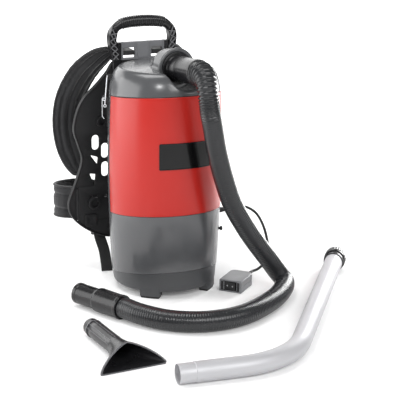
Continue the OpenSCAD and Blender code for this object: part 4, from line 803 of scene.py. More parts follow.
def build_tub():
    """Wall of the tub as one closed section led round the canister. Its depth steps back behind the red
    cover, by a smooth step of the angle times one of the height, and all its edges are rounded."""
    extra = np.array([94.9, 95.2, 95.3, 95.4, 95.5, 95.6, 95.9])
    a = np.unique(np.concatenate([np.arange(-180, 180, 2.0), extra, -extra]))
    side = np.clip((95.62 - np.abs(a)) / 0.3, 0, 1)
    side = side * side * (3 - 2 * side)
    below, above, whole = (SEAM_LOW, COVER_EDGE), (COVER_EDGE, SEAM_HIGH), (SEAM_LOW, SEAM_HIGH)
    # each row: the two planes, the share between them, the rise, the depth, and the depth behind the cover
    rows = [(below, 0, 0.3, 0.4, 0), (below, 0, 0.6, 0.1, 0), (below, 0, 1.2, 0, 0)]
    rows += [(below, w, 0, 0, 0) for w in (0.2, 0.4, 0.6, 0.8)]
    rows += [(above, 0, -GAP - rise, 0, sunk)
             for rise, sunk in ((1.0, 0), (0.45, 0.1), (0.1, 0.5), (0, SEAT))]
    rows += [(above, w, 0, 0, SEAT) for w in np.linspace(0.004, 0.97, 14)]
    rows += [(above, 1, -0.9, 0, SEAT), (above, 1, -0.25, 0.25, SEAT), (above, 1, 0, 0.9, SEAT)]
    rows += [(above, 1, 0, 3.6, 0), (above, 1, -0.5, 5, 0)]
    rows += [(whole, w, 0, 5, 0) for w in np.linspace(0.95, 0.02, 12)] + [(whole, 0, 0.3, 4.4, 0)]
    loops = [on_wall(a, low, high, w, rise, depth + sunk * side)
             for (low, high), w, rise, depth, sunk in rows]
    wall = skin(np.array(loops), loop=True)
    ledge_r = can_r(174) - WALL
    ledge = turned(rect(ledge_r, 174, 101, 166), (0, 0, 0), (0, 0, 1), 96)
    pads = []
    for x in (-46, 46):
        for z in (110, 380):
            pads.append(turned(filleted(rect(2.3, 95, 11, 118.98), [0, 0, 0.8, 0]),
                               (x, 0, z), (0, 1, 0), 32))
    collar = turned(filleted(rect(7.3, 108, 13, can_r(CORD_Z) + 3), [0, 0, 1, 0]),
                    (0, 0, CORD_Z), (1, 0, 0), 40)
    make("tub_wall", joined(wall, ledge, collar, *pads), "canister", "grey_shell", stands_for=["tub"],
         sharp=40)


def build_side_knob():
    """Small domed knob on the canister's side: a turned stem and cap."""
    a = math.radians(66)
    d = np.array([math.sin(a), -math.cos(a), 0])
    profile = filleted([[0.02, -3], [3, -3], [3, 2.4], [5.2, 3], [5.2, 6.4], [3, 8], [0.02, 8.2]],
                       [0, 0, 0.4, 0.8, 1.4, 1.2, 0], 3)
    make("side_knob", turned(profile, d * can_r(126) + [0, 0, 126], d, 32), "canister", "black_plastic",
         sharp=40)


def build_front_cover():
    """Red cover: a slab bent round the canister, its height taken from two sloping planes."""
    length = math.radians(2 * COVER_HALF) * 120

    def place(u, v, d):
        return on_wall(-COVER_HALF + 2 * COVER_HALF * u / length, COVER_EDGE, SEAM_HIGH, v / 253.0, 0,
                       -0.4 + d)
    make("front_cover_bent", slab(place, length, 253, COVER_T, 1.1, 120, 40), "canister", "red_cover",
         stands_for=["front_cover"], sharp=50)


def build_name_plate():
    """Blank plate: a thin bent slab whose field is sunk inside a narrow raised border."""
    w, h = 117.0, 56.0
    low, high = (302 - h / 2, BAND_TILT), (302 + h / 2, BAND_TILT)

    def place(u, v, d):
        return on_wall(np.degrees((u - w / 2) / 122.3), low, high, v / h, 0, -0.4 - 1.8 + d)

    def relief(u, v):
        edge = np.minimum(np.minimum(u, w - u), np.minimum(v, h - v))
        return 0.45 * np.clip((edge - 1.9) / 0.35, 0, 1)
    make("name_plate_blank", slab(place, w, h, 1.8, 0.5, 181, 91, corner=3.0, relief=relief), "canister",
         "plate_black", stands_for=["name_plate"], sharp=30)


def build_lid():
    """Lid as one radial surface: along each ray from the canister's axis, the point where the rounded dome
    joined with the port's hood, less the scoop, ends. Joins and cuts are smooth, by a quadratic blend of
    the distances."""
    centre = np.array([0.0, 0.0, 400.0])
    n, m = 260, 120
    around = np.radians(np.arange(n) * 360 / n)
    lid_r = can_r(LID_SEAM)
    flat_r, dome_z, dome_high = 92, 422, 62
    hood_r, hood_from, hood_to = 40, 24, 52

    def blend_min(a, b, k):
        h = np.clip(0.5 + 0.5 * (b - a) / k, 0, 1)
        return b * (1 - h) + a * h - k * h * (1 - h)

    def depth(p):
        rho = np.hypot(p[..., 0], p[..., 1])
        q0, q1 = np.maximum(rho - flat_r, 0), np.maximum(p[..., 2] - dome_z, 0)
        tall = dome_high + 2 * np.clip(1 - (rho / flat_r) ** 2, 0, 1)
        k = np.sqrt((q0 / (lid_r - flat_r)) ** 2 + (q1 / tall) ** 2)
        slope = np.sqrt((q0 / (lid_r - flat_r) ** 2) ** 2 + (q1 / tall ** 2) ** 2) / np.maximum(k, 1e-6)
        dome = np.where(k > 1e-6, (k - 1) / np.maximum(slope, 1 / dome_high), -25)
        v = p - PORT_AT
        far = v @ PORT_D
        off = np.linalg.norm(v - far[..., None] * PORT_D, axis=-1)
        back = np.linalg.norm(v - hood_from * PORT_D, axis=-1) - hood_r
        hood = np.maximum(np.where(far < hood_from, back, off - hood_r), far - hood_to)
        body = blend_min(dome, hood, 7)
        scoop = -blend_min(-(off - hood_r - 1.5), -(hood_to + 1 - far), 3)
        return -blend_min(-body, scoop, 5)

    def reach(direction):
        low, high = np.full(direction.shape[:-1], 15.0), np.full(direction.shape[:-1], 190.0)
        for _ in range(22):
            mid = (low + high) / 2
            inside = depth(centre + mid[..., None] * direction) < 0
            low, high = np.where(inside, mid, low), np.where(inside, high, mid)
        return low

    flat = np.stack([np.sin(around), -np.cos(around), 0 * around], -1)
    rise = LID_SEAM + GASKET_T + lid_r * np.cos(around) * math.tan(math.radians(BAND_TILT)) - centre[2]
    low = np.arctan2(rise, lid_r)
    t = np.linspace(0, 1, m) ** 1.05
    angle = low[None] + (math.pi / 2 - low[None]) * t[:, None]
    direction = np.cos(angle)[..., None] * flat[None] + np.sin(angle)[..., None] * np.array([0, 0, 1.0])
    points = centre + reach(direction)[..., None] * direction
    # the foot's ring turns in round the seam's edge, and the inner face follows the outer one a wall
    # inside it
    foot = points[0]
    rings = [foot - 2.7 * flat, foot - 0.8 * flat, foot - 0.2 * flat + [0, 0, 0.3], foot + [0, 0, 0.9]]
    inner = centre + (points - centre) * (1 - WALL / np.linalg.norm(points - centre, axis=-1, keepdims=True))
    shell = np.concatenate([inner[::-1], np.array(rings), points[2:]])
    make("lid_dome", skin(shell), "lid", "grey_shell", stands_for=["lid"], sharp=50)


def build_port_rim():
    """Raised rim of the port and the tube that leads down from it: two turned profiles."""
    origin = port_point(PORT_REACH - 9)
    rim = turned(filleted([[34, 0], [39.5, 0], [43, 2.2], [43, 8.0], [40.6, 9], [36.5, 9], [34, 6.5]],
                          [0, 0, 1.4, 1.3, 0.8, 1, 1]), origin, PORT_D, 96)
    make("port_rim", rim, "lid", "grey_shell", sharp=45)
    stub = turned(rect(21, 399.4, 24, 462), (0, 0, 0), (0, 0, 1), 48)
    make("inlet_stub", stub, "lid", "grey_shell", sharp=45)


def build_cuff():
    """Bush in the port and the turning cuff: turned profiles, the cuff with a shoulder and two shallow
    grooves."""
    bush = turned(filleted(rect(27.05, -13, 34, 0), [0.3, 0.5, 1.2, 0.8]),
                  port_point(PORT_REACH), PORT_D, 96)
    make("port_bush_turned", bush, "lid", "black_plastic", stands_for=["port_bush"], sharp=45)
    corners = [[22, 35], [27, 35], [27, 36.7], [30, 36.7], [30, 40.7], [27, 40.7], [27, 54.3], [28.5, 54.3],
               [28.5, 58.3], [27, 59.5], [27, 84], [26.4, 84.5], [26.4, 86], [27, 86.5], [27, 139.5],
               [27.4, 140.2], [27.4, 145], [26.6, 146], [22, 146]]
    round_by = [0.3, 0.3, 0, 0.6, 0.6, 0, 0, 0.5, 1.2, 1, 0.3, 0.3, 0.3, 0.3, 0.3, 0.5, 0.8, 0.4, 0.4]
    make("hose_cuff_turned", turned(filleted(corners, round_by, 3), PORT_AT, PORT_D, 96), "hose_cuff",
         "black_plastic", stands_for=["hose_cuff"], sharp=40)


# ---------------------------------------------------------------- back plate and handle
def mirror_outline(p):
    """Right half of an outline, top to bottom, closed by its mirror image."""
    p = np.asarray(p, float)
    return np.vstack([p, p[-2:0:-1] * [-1, 1]])


PLATE_HALF = [[0, 476.7], [52, 476.7], [70, 472], [84, 452], [104, 430], [143, 389], [161, 334], [151, 292],
              [143, 258], [157, 212], [175, 161], [164, 126], [130, 96], [84, 76], [0, 74]]


def oval(x, z, w, h):
    """Slot with round ends: two half circles of the width, h from end to end."""
    t = np.linspace(0, np.pi, 9)
    top = np.stack([x + w / 2 * np.cos(t), z + (h - w) / 2 + w / 2 * np.sin(t)], 1)
    return np.vstack([top, [2 * x, 2 * z] - top])


def build_back_plate():
    """Back plate: a flat plate with its holes and rounded edges, a raised rim led round its outline, and
    the turned bosses and pressed block on its front."""
    half = smooth_line(PLATE_HALF, 6)
    outline = mirror_outline(half)
    holes = []
    for x in (-1, 1):
        holes += [oval(x * 110, 296, 17, 34), oval(x * 88, 276, 17, 34), oval(x * 88, 234, 17, 34),
                  filleted([[x * 122, 268], [x * 104, 262], [x * 106, 246]], 3),
                  filleted([[x * 124, 226], [x * 110, 224], [x * 113, 196]], 2)]
        holes += [np.array([x * k, 172]) + circle(3.4, 16) for k in (120, 108, 87)]
        holes.append(filleted(rect(x * 150, 120, x * 156, 196), 2))
    plate = flat_plate([outline] + holes, BACK_Y + BACK_T / 2, BACK_T, 0.8)
    # rim: a rounded bar whose middle lies 2 mm inside the outline
    p = np.column_stack([outline[:, 0], np.full(len(outline), BACK_Y + BACK_T / 2), outline[:, 1]])
    t = unit(np.roll(p, -1, 0) - np.roll(p, 1, 0))
    inward = np.cross(t, [0, 1, 0])
    inward *= np.sign(np.sum(inward * (np.array([0, 0, 270]) - p), 1).mean())
    bar = filleted(rect(-2, -BACK_RIM / 2, 2, BACK_RIM / 2), 1.3, 3)
    q = p + 2 * inward
    rings = q[:, None] + bar[:, :1] * inward[:, None] + bar[:, 1:] * np.array([0, 1.0, 0])
    rim = skin(rings, loop=True)
    parts = [plate, rim]
    for x in (-1, 1):
        parts.append(turned(filleted([[7, 126], [7, 125], [12, 125], [12, 135], [7, 135]], [0, 0.5, 1, 0, 0]),
                            (x * 97, 0, 343), (0, 1, 0), 40))
        parts.append(turned(rect(0.1, 131, 7, 135), (x * 97, 0, 343), (0, 1, 0), 24))
        parts.append(turned(filleted([[9, 131], [9, 126], [14, 126], [14, 135], [9, 135]],
                                     [0, 0.6, 1.2, 0, 0]),
                            (x * 115, 0, 158), (0, 1, 0), 40))
        parts.append(slab(face_at(x * 123 - 14, 129, 106), 28, 27, 5.5, 1.0, 8, 8, corner=3,
                          relief=lambda u, v: 1.2 * ((np.abs(u - 14) < 8.5) & (np.abs(v - 13.5) < 8))))
    make("back_plate_formed", joined(*parts), "canister", "black_plastic", finish="plate_etched",
         stands_for=["back_plate"], sharp=40)


LOOP = [[0, 572], [28, 570.5], [51, 566], [67, 555], [76, 540], [79, 524], [77, 506], [73, 490], [72, 477]]
HAND = [[0, 549], [28, 548], [50, 544], [59, 535], [62, 525], [62, 516]]


def build_handle(s):
    """Carry handle: for each place round the loop, a section between the inner and the outer line. On the
    grip the section is a superellipse with ribs; down the posts it turns into a channel with raised edges."""
    outer = smooth_line(LOOP, 6)
    inner = np.vstack([smooth_line(HAND, 6), [[60.5, 508], [57, 500], [56, 490], [56, 477]]])
    n = 260
    co, ci = running(outer), running(inner)
    u = np.linspace(0, 1, n)
    so = np.interp(u, [0, 0.42, 0.62, 0.80, 1], [0, co[-1] * 0.40, co[-1] * 0.58, co[-1] * 0.79, co[-1]])
    si = np.interp(u, [0, 0.42, 0.62, 0.80, 1], [0, ci[-1] * 0.42, ci[-1] * 0.56, ci[-1] * 0.78, ci[-1]])
    o, i = at_lengths(outer, so), at_lengths(inner, si)
    o = np.vstack([o[::-1] * [-1, 1], o[1:]])
    i = np.vstack([i[::-1] * [-1, 1], i[1:]])
    u = np.abs(np.linspace(-1, 1, 2 * n - 1))
    middle, half = (o + i) / 2, (o - i) / 2
    post = np.clip((u - 0.50) / 0.10, 0, 1)
    post = (post * post * (3 - 2 * post))[:, None]
    k = 20
    c = np.sin(np.linspace(-np.pi / 2, np.pi / 2, k + 1))
    grip = 9.6 * (1 - np.abs(c) ** 3.0) ** (1 / 2.4)
    channel = np.where(np.abs(c) > 0.97, 8.6, np.where(np.abs(c) > 0.62, 10.0, 5.6))
    channel = np.where(np.abs(c) > 0.999, 0.0, channel)
    deep = grip[None] * (1 - post) + channel[None] * post
    x = middle[:, None, 0] + half[:, None, 0] * c[None]
    z = middle[:, None, 1] + half[:, None, 1] * c[None]
    front = np.stack([x, HANDLE_Y - deep, z], -1)
    back = np.stack([x, HANDLE_Y + deep, z], -1)[:, ::-1]
    section = np.concatenate([front, back[:, 1:-1]], 1)
    loop = skin(section)
    # ribs of the grip: rings that stand proud of the section, drawn in at their two faces
    axis = np.stack([middle[:, 0], np.full(len(middle), HANDLE_Y), middle[:, 1]], 1)
    along = tangents(axis)
    places = np.abs(middle[:, 0]) < 50
    pitches = np.arange(-10.5, 11) * s.grip_rib_pitch
    proud, crossed = [], []
    for x0 in pitches:
        upper = np.where(places & (middle[:, 1] > 548))[0]
        k = upper[np.argmin(np.abs(middle[upper, 0] - x0))]
        out = unit(section[k] - axis[k])
        proud.append(skin(np.array([section[k] + d * out + w * along[k] for d, w in
                                    ((-1.0, -1.0), (1.1, -0.75), (1.5, -0.4), (1.5, 0.4), (1.1, 0.75),
                                     (-1.0, 1.0))])))
    parts = [loop]
    # crossing ribs in the channels of the posts
    for side in (-1, 1):
        for way in (0, 1):
            bars = []
            places = np.linspace(0.56, 0.985, 6)
            for j, a in enumerate(places[:-1]):
                b = places[j + 1]
                left, right = (0.78, -0.78) if (j + way) % 2 else (-0.78, 0.78)

                def at(v, c0):
                    idx = v * (n - 1) + n - 1
                    m0 = np.array([np.interp(idx, np.arange(2 * n - 1), middle[:, 0]),
                                   np.interp(idx, np.arange(2 * n - 1), middle[:, 1])])
                    h0 = np.array([np.interp(idx, np.arange(2 * n - 1), half[:, 0]),
                                   np.interp(idx, np.arange(2 * n - 1), half[:, 1])])
                    q = m0 + c0 * h0
                    return np.array([side * q[0], HANDLE_Y, q[1]])
                ends = np.array([at(a, left), at(b, right)])
                bar = filleted(rect(-0.8, -10.1, 0.8, 10.1), 0.35, 2)
                t = unit(ends[1] - ends[0])
                across = np.cross(t, [0, 1, 0])
                rings = ends[:, None] + bar[:, :1] * across + bar[:, 1:] * np.array([0, 1.0, 0])
                bars.append(skin(rings))
            crossed += bars
    # on each side, the tab on the back plate, and the web between the cross plate and the post
    for side in (-1, 1):
        parts.append(slab(face_at(side * 61 - 10, 124, 436), 20, 45, 7, 1.0, 6, 12, corner=4))
        parts.append(slab(face_at(side * (CROSS_HALF + 0.2), 126, CROSS_LOW, across=side), 8,
                          CROSS_HIGH - CROSS_LOW, 15, 0.6, 4, 8))
    make("carry_handle_loop", joined(*parts), "canister", "black_plastic", stands_for=["carry_handle"],
         sharp=32)
    # the crossing ribs take a lighter grey finish whose colour paints their highlight
    make("carry_handle_crosses", joined(*crossed), "canister", "black_plastic", finish="crossed_rib_painted_highlight", sharp=32)
    make("carry_handle_ribs", joined(*proud), "canister", "black_plastic", finish="tool_black", sharp=32)


def build_cross_plate():
    """Cross plate: a flat plate with four rounded slots, and a raised block in its middle."""
    outline = filleted(rect(-CROSS_HALF, CROSS_LOW, CROSS_HALF, CROSS_HIGH), 1.5)
    holes = []
    for x in (-33, 33):
        holes += [filleted(rect(x - 15.5, z - h, x + 15.5, z + h), 1.6)
                  for z, h in ((499, 4.5), (484, 3.0))]
    plate = flat_plate([outline] + holes, 133.5, 11, 1.0)
    raised = slab(face_at(-13, 126.4, 480), 26, 33, 3, 1.0, 8, 8, corner=3, relief=lambda u, v: 0.7 * (
        (np.abs(u - 13) < 9.5) & (np.abs(v - 16.5) < 12.5)))
    ribs = [slab(face_at(x - 1, 126.9, 478.5), 2, 36, 2, 0.6, 3, 6) for x in (-47.5, -18, 18, 47.5)]
    make("cross_plate_slotted", joined(plate, raised, *ribs), "canister", "mid_plastic",
         stands_for=["cross_plate"], sharp=40)


# ---------------------------------------------------------------- harness
PAD_POINTS = [[58, 163, 494], [84, 181, 477], [112, 208, 440], [134, 230, 385], [142, 236, 330],
              [140, 226, 278], [132, 204, 236], [126, 184, 212]]
WING_POINTS = [[153, 131], [154, 146], [162, 158], [176, 168], [185, 180], [187, 195], [176, 210], [152, 219],
               [112, 225], [70, 229]]


def pad_frame(points, across):
    """Fine middle line of a pad with its across and outward directions at every point."""
    line = smooth_line(points, 3)
    fine = at_lengths(line, np.linspace(0, running(line)[-1], 161))
    t = tangents(fine)
    a = unit(np.asarray(across, float) - np.sum(np.asarray(across, float) * t, 1, keepdims=True) * t)
    return fine, t, a, np.cross(a, t)


def stuffed(name, shape, cap, voxel):
    """Blown-up cloth: the shell is remeshed evenly, inflated a little as cloth, each point moved along its
    own normal by no more than `cap` mm, and smoothed by one subdivision."""
    points, faces = shape
    mesh = bpy.data.meshes.new(name)
    mesh.from_pydata((points * MM).tolist(), [], faces)
    body = bpy.data.objects.new(name, mesh)
    scene = bpy.context.scene
    scene.collection.objects.link(body)
    even = body.modifiers.new("even", "REMESH")
    even.mode = "VOXEL"
    even.voxel_size = voxel * MM
    bpy.context.view_layer.update()
    base = bpy.data.meshes.new_from_object(body.evaluated_get(bpy.context.evaluated_depsgraph_get()))
    body.modifiers.clear()
    body.data = base
    start = np.empty(len(base.vertices) * 3)
    base.vertices.foreach_get("co", start)
    cloth = body.modifiers.new("cloth", "CLOTH")
    cloth.settings.quality = 4
    cloth.settings.use_pressure = True
    cloth.settings.uniform_pressure_force = 4.0
    cloth.settings.effector_weights.gravity = 0.0
    cloth.point_cache.frame_start, cloth.point_cache.frame_end = 1, 20
    for k in range(1, 21):
        scene.frame_set(k)
    grown = body.evaluated_get(bpy.context.evaluated_depsgraph_get()).data
    end = np.empty(len(base.vertices) * 3)
    grown.vertices.foreach_get("co", end)
    facing = np.empty(len(base.vertices) * 3)
    base.vertices.foreach_get("normal", facing)
    facing = facing.reshape(-1, 3)
    swell = np.sum((end - start).reshape(-1, 3) * facing, 1, keepdims=True)
    move = facing * np.clip(swell, -0.3 * MM, cap * MM)
    body.modifiers.clear()
    base.vertices.foreach_set("co", (start.reshape(-1, 3) + move).ravel())
    scene.frame_set(1)
    body.modifiers.new("smooth", "SUBSURF").levels = 1
    body.modifiers["smooth"].render_levels = 1
    bpy.context.view_layer.update()
    final = bpy.data.meshes.new_from_object(body.evaluated_get(bpy.context.evaluated_depsgraph_get()))
    p = np.empty(len(final.vertices) * 3)
    final.vertices.foreach_get("co", p)
    faces = [list(f.vertices) for f in final.polygons]
    bpy.data.objects.remove(body)
    for m in (mesh, base, final):
        bpy.data.meshes.remove(m)
    return p.reshape(-1, 3) / MM, faces


def quilted(shape, fine, a, o, width, channels, deep):
    """Sewn channels: each point of the outer face is pressed in by a bell curve about every channel,
    fading out towards the pad's two ends."""
    points, faces = shape
    near = np.argmin(((points[:, None] - fine[None, ::4]) ** 2).sum(-1), 1) * 4
    d = points - fine[near]
    x = (d * a[near]).sum(1) / width[near]
    y = (d * o[near]).sum(1)
    press = sum(np.exp(-((x - c) / 0.055) ** 2) for c in channels)
    u = near / (len(fine) - 1)
    press = press * np.clip(u / 0.06, 0, 1) * np.clip((1 - u) / 0.06, 0, 1)
    return points - o[near] * (deep * press * np.clip(y / 2, -1, 1))[:, None], faces


def stitches(line, normal, pitch, length, r):
    """A row of stitches: small lozenges set end to end along a line, lifted by half their own thickness."""
    c = running(line)
    at = np.arange(pitch / 2, c[-1] - pitch / 2, pitch)
    p = at_lengths(line, at)
    n = unit(np.stack([np.interp(at, c, normal[:, k]) for k in range(3)], 1))
    t = unit(at_lengths(line, at + 0.4) - at_lengths(line, at - 0.4))
    b = np.cross(t, n)
    x = np.array([-0.5, -0.3, 0.3, 0.5]) * length
    k = np.array([0.35, 1, 1, 0.35]) * r
    sec = circle(1, 6)
    rings = (p[:, None, None] + x[None, :, None, None] * t[:, None, None]
             + (k[:, None] * sec[:, 0])[None, :, :, None] * b[:, None, None]
             + (k[:, None] * sec[:, 1])[None, :, :, None] * n[:, None, None])
    faces = skin(np.zeros((4, 6, 3)))[1]
    return rings.reshape(-1, 3), [[q + i * 24 for q in f] for i in range(len(at)) for f in faces]


def bound_pad(name, points, across, width, thick, channels, deep, cap, voxel):
    """Pad: a superellipse section carried along the middle line, blown up as cloth, quilted, and bound round
    its edge with a rolled tape; the line of the tape is given back for the stitches."""
    fine, t, a, o = pad_frame(points, across)
    w, h = width(np.linspace(0, 1, len(fine))), thick(np.linspace(0, 1, len(fine)))
    sec = squircle(0.5, 0.5, 2.6, 28)
    keep = slice(3, -3)
    rings = (fine[keep, None] + (sec[:, 0][None] * (w[keep, None] - 3.0))[..., None] * a[keep, None]
             + (sec[:, 1][None] * np.maximum(h[keep, None] - 4.0, 6.0))[..., None] * o[keep, None])
    ends = [fine[keep][k] + 0 * rings[0] + 0.35 * (rings[k] - fine[keep][k]) - s * 1.6 * t[keep][k]
            for k, s in ((0, 1), (-1, -1))]
    rings = np.concatenate([ends[0][None], rings, ends[1][None]])
    body = quilted(stuffed(name, skin(rings), cap, voxel), fine, a, o, w, channels, deep)
    # binding tape round the edge, down one side and back up the other
    inset = 2.2
    right, left = fine + (w / 2 - inset)[:, None] * a, fine - (w / 2 - inset)[:, None] * a
    edge = np.vstack([right[3:-3], fine[-3] + (np.linspace(1, -1, 9)[1:-1, None]) * (right[-3] - fine[-3]),
                      left[3:-3][::-1], fine[3] + (np.linspace(-1, 1, 9)[1:-1, None]) * (right[3] - fine[3])])
    normal = np.vstack([o[3:-3], np.repeat(o[-3:-2], 7, 0), o[3:-3][::-1], np.repeat(o[3:4], 7, 0)])
    te = unit(np.roll(edge, -1, 0) - np.roll(edge, 1, 0))
    be = unit(np.cross(te, normal))
    tape = squircle(2.3, 3.2, 2.6, 12)
    binding = skin(edge[:, None] + tape[:, :1] * be[:, None] + tape[:, 1:] * normal[:, None], loop=True)
    return body, binding, edge, normal, be


def both_sides(node, name, body, tape, seam):
    """A padded piece with its binding and its stitches on each side, the left ones mirrored from the right.
    The two padded pieces are given back."""
    pads = []
    for side in ("right", "left"):
        flip = mirrored if side == "left" else (lambda shell: shell)
        pads.append(make("%s_%s_quilted" % (node, side), flip(body), "canister", "fabric_black",
                         stands_for=["%s_%s" % (node, side)], sharp=0))
        make("%s_binding_%s" % (name, side), flip(tape), "canister", "webbing", finish="tape", sharp=0)
        make("%s_stitches_%s" % (name, side), flip(seam), "canister", "fabric_black", finish="thread",
             sharp=0, weld=False)
    return pads


def build_shoulder_pads(s):
    """Both shoulder pads, the left one mirrored from the right."""
    def width(u):
        return s.pad_width * (1 - 0.55 * np.abs(2 * u - 1) ** 6)

    def thick(u):
        return 15 * np.minimum(1, 1.15 - 0.55 * np.abs(2 * u - 1) ** 6)
    body, tape, edge, normal, be = bound_pad(
        "pad", PAD_POINTS, [1, 0.15, 0], width, thick, (-0.25, 0.0, 0.25), s.channel_deep, 5.0, 4.0)
    seam = stitches(edge - be * 3.6 + normal * 3.2, normal, 5.0, 3.2, 0.35)
    for pad in both_sides("shoulder_pad", "pad", body, tape, seam):
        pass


def build_belt_wings(s):
    """Both wings of the waist belt, the left one mirrored from the right."""
    line = [[x, y, BELT_Z] for x, y in WING_POINTS]

    def width(u):
        return 74 * (1 - 0.45 * u ** 8)

    def thick(u):
        return 4 + 6 * np.clip((u * 27 - 4) / 5, 0, 1) * (1 - 0.45 * u ** 8)
    body, tape, edge, normal, be = bound_pad(
        "wing", line, [0, 0, 1], width, thick, (-0.22, 0.22), s.channel_deep * 0.7, 2.5, 3.0)
    seam = stitches(edge - be * 3.4 + normal * 2.6, normal, 5.0, 3.2, 0.3)
    for wing in both_sides("belt_wing", "wing", body, tape, seam):
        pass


def webbing(line, across, width, thick):
    """Flat strap with rounded edges, led along a line; u runs across it and v along it, in mm."""
    fine = at_lengths(line, np.linspace(0, running(line)[-1], max(8, int(running(line)[-1] / 3))))
    sec = filleted(rect(-width / 2, -thick / 2, width / 2, thick / 2), thick * 0.35, 2)
    a = np.broadcast_to(np.asarray(across, float), fine.shape)
    points, faces = swept(fine, sec, None, across=a)
    v = running(fine)
    uv = np.stack([np.broadcast_to(sec[:, 0], (len(fine), len(sec))),
                   np.broadcast_to(v[:, None], (len(fine), len(sec)))], -1).reshape(-1, 2)
    return (points, faces), uv


def build_straps():
    """Webbing from the cross plate to each pad, from the pad down to its buckle, and the tail that hangs
    below."""
    first = unit(smooth_line(PAD_POINTS, 3)[1] - np.array(PAD_POINTS[0]))
    line = smooth_line(PAD_POINTS, 3)
    last = unit(line[-1] - line[-2])
    start = np.array(PAD_POINTS[0], float)
    top = [[33, 126.5, 488], [33, 126.5, 494], [33, 127.4, 496], [33, 129.5, 496.3], [33, 142, 496.5],
           [36, 150, 497.5], start - 8 * first, start - 4 * first]
    top = np.vstack([smooth_line(top, 3), start + 3 * first])
    low = np.vstack([line[-1] - 3 * last, smooth_line([line[-1] + 4 * last, [124, 172, 180], [118, 160, 140],
                                                      [108, 150, 108], [101, 146, 92]], 3)])
    tail = smooth_line([[100, 146, 88], [97, 145, 70], [93, 131, 46], [94, 115, 22], [95, 106, 4]], 3)
    for name, node, lines in (("strap", "strap_", [top, low]), ("tail", "tail_", [tail])):
        shells = [webbing(q, [1, 0, 0], 26, 2) for q in lines]
        shape = joined(*[q[0] for q in shells])
        uv = np.vstack([q[1] for q in shells])
        for side in ("right", "left"):
            make("%s_%s_woven" % (name, side), mirrored(shape) if side == "left" else shape, "canister",
                 "webbing", stands_for=[node + side], uv=uv, weld=False, sharp=40)
    belt = smooth_line([[66, 229.3, BELT_Z], [48, 231, BELT_Z], [22.4, 232, BELT_Z]], 3)
    shape, uv = webbing(belt, [0, 0, 1], 38, 2)
    both = joined(shape, mirrored(shape))
    make("belt_webbing_woven", both, "canister", "webbing", stands_for=["belt_webbing"],
         uv=np.vstack([uv, uv]), weld=False, sharp=40)


def build_buckles():
    """Strap buckles and belt buckle: flat plates with rounded edges and slots, the belt's with a pressed
    middle."""
    parts = []
    for x in (-100.5, 100.5):
        outline = filleted(rect(x - 18, 81, x + 18, 97), 2.5)
        holes = [filleted(rect(x - 14.5, z - 1.8, x + 14.5, z + 1.8), 0.8)
                 for z in (85.6, 92.4)]
        parts.append(flat_plate([outline] + holes, 144.8, 5, 0.9))
    make("strap_buckles_moulded", joined(*parts), "canister", "black_plastic", stands_for=["strap_buckles"],
         sharp=40)
    outline = filleted(rect(-26, 134, 26, 182), 4)
    holes = [filleted(rect(x - 4, 138, x + 4, 178), 1) for x in (-26 + 8.5, 26 - 8.5)]
    frame_plate = flat_plate([outline] + holes, 232, 12, 1.4)
    press = face_at(-9, 238.4, 141, into=-1)
    make("belt_buckle_moulded", joined(frame_plate, slab(press, 18, 34, 2, 0.8, 6, 10, corner=4)), "canister",
         "black_plastic", stands_for=["belt_buckle"], sharp=40)


# ---------------------------------------------------------------- wand and tool
WAND_AT, WAND_TURN = np.array([-190.0, -530.0, 20.0]), math.radians(-5.3)
BEND_R, BEND, RUN_A, RUN_B = 180.0, math.radians(59), 125.0, 515.0
WAND_R, WAND_NECK_R, WAND_BORE, WAND_NECK = 20.0, 19.1, 18.5, 32.0
WAND_TILT = math.asin(5.4 / (BEND_R * (1 - math.cos(BEND)) + (RUN_B - 44) * math.sin(BEND)))


def on_wand(points):
    """Points of the wand's own frame, tilted about its first straight part, turned and moved to its place."""
    p = np.asarray(points, float)
    c, n = math.cos(WAND_TILT), math.sin(WAND_TILT)
    tilted = np.stack([p[..., 0], p[..., 1] * c - p[..., 2] * n, p[..., 1] * n + p[..., 2] * c], -1)
    return placed(tilted, WAND_AT, WAND_TURN)


def wand_line():
    """Middle line of the wand: a straight part, an arc and a second straight part."""
    a = np.linspace(0, BEND, 41)
    arc = np.stack([RUN_A + BEND_R * np.sin(a), BEND_R * (1 - np.cos(a))], 1)
    d = np.array([math.cos(BEND), math.sin(BEND)])
    near = np.array([0, 0.6, 1.2, 8, 16, 24, WAND_NECK - 0.8, WAND_NECK - 0.1, WAND_NECK + 0.6, 50, 80, 110])
    far = np.concatenate([np.linspace(20, RUN_B - 45, 20), [RUN_B - 20, RUN_B - 1.2, RUN_B - 0.6, RUN_B]])
    return np.vstack([np.column_stack([near, 0 * near]), arc, arc[-1] + far[:, None] * d])


def build_wand():
    """Bent tube: a circle carried along the middle line, out along the outside and back along the bore,
    with the near end drawn in and both ends rounded."""
    line = wand_line()
    p = np.column_stack([line, 0 * line[:, 0]])
    at = running(p)
    r = np.full(len(p), WAND_R)
    r[at < WAND_NECK - 0.05] = WAND_NECK_R
    r[0], r[1], r[-1], r[-2] = 18.9, 19.05, 19.7, 19.95
    path, radius = np.vstack([p, p[::-1]]), np.concatenate([r, np.full(len(p), WAND_BORE)])
    t = tangents(p)
    up = np.broadcast_to([0, 0, 1.0], p.shape)
    side = np.cross(t, up)
    side, up = np.vstack([side, side[::-1]]), np.vstack([up, up[::-1]])
    sides = 72
    a = 2 * np.pi * np.arange(sides) / sides
    rings = path[:, None] + radius[:, None, None] * (np.cos(a)[:, None] * side[:, None]
                                                     + np.sin(a)[:, None] * up[:, None])
    v = np.concatenate([at, at[::-1]])
    uv = np.stack(np.broadcast_arrays(v[:, None], np.abs(a - np.pi)[None] * WAND_R), -1).reshape(-1, 2)
    make("wand_tube", skin(on_wand(rings), loop=True), "wand", "alloy", stands_for=["wand"], uv=uv,
         weld=False, sharp=40)


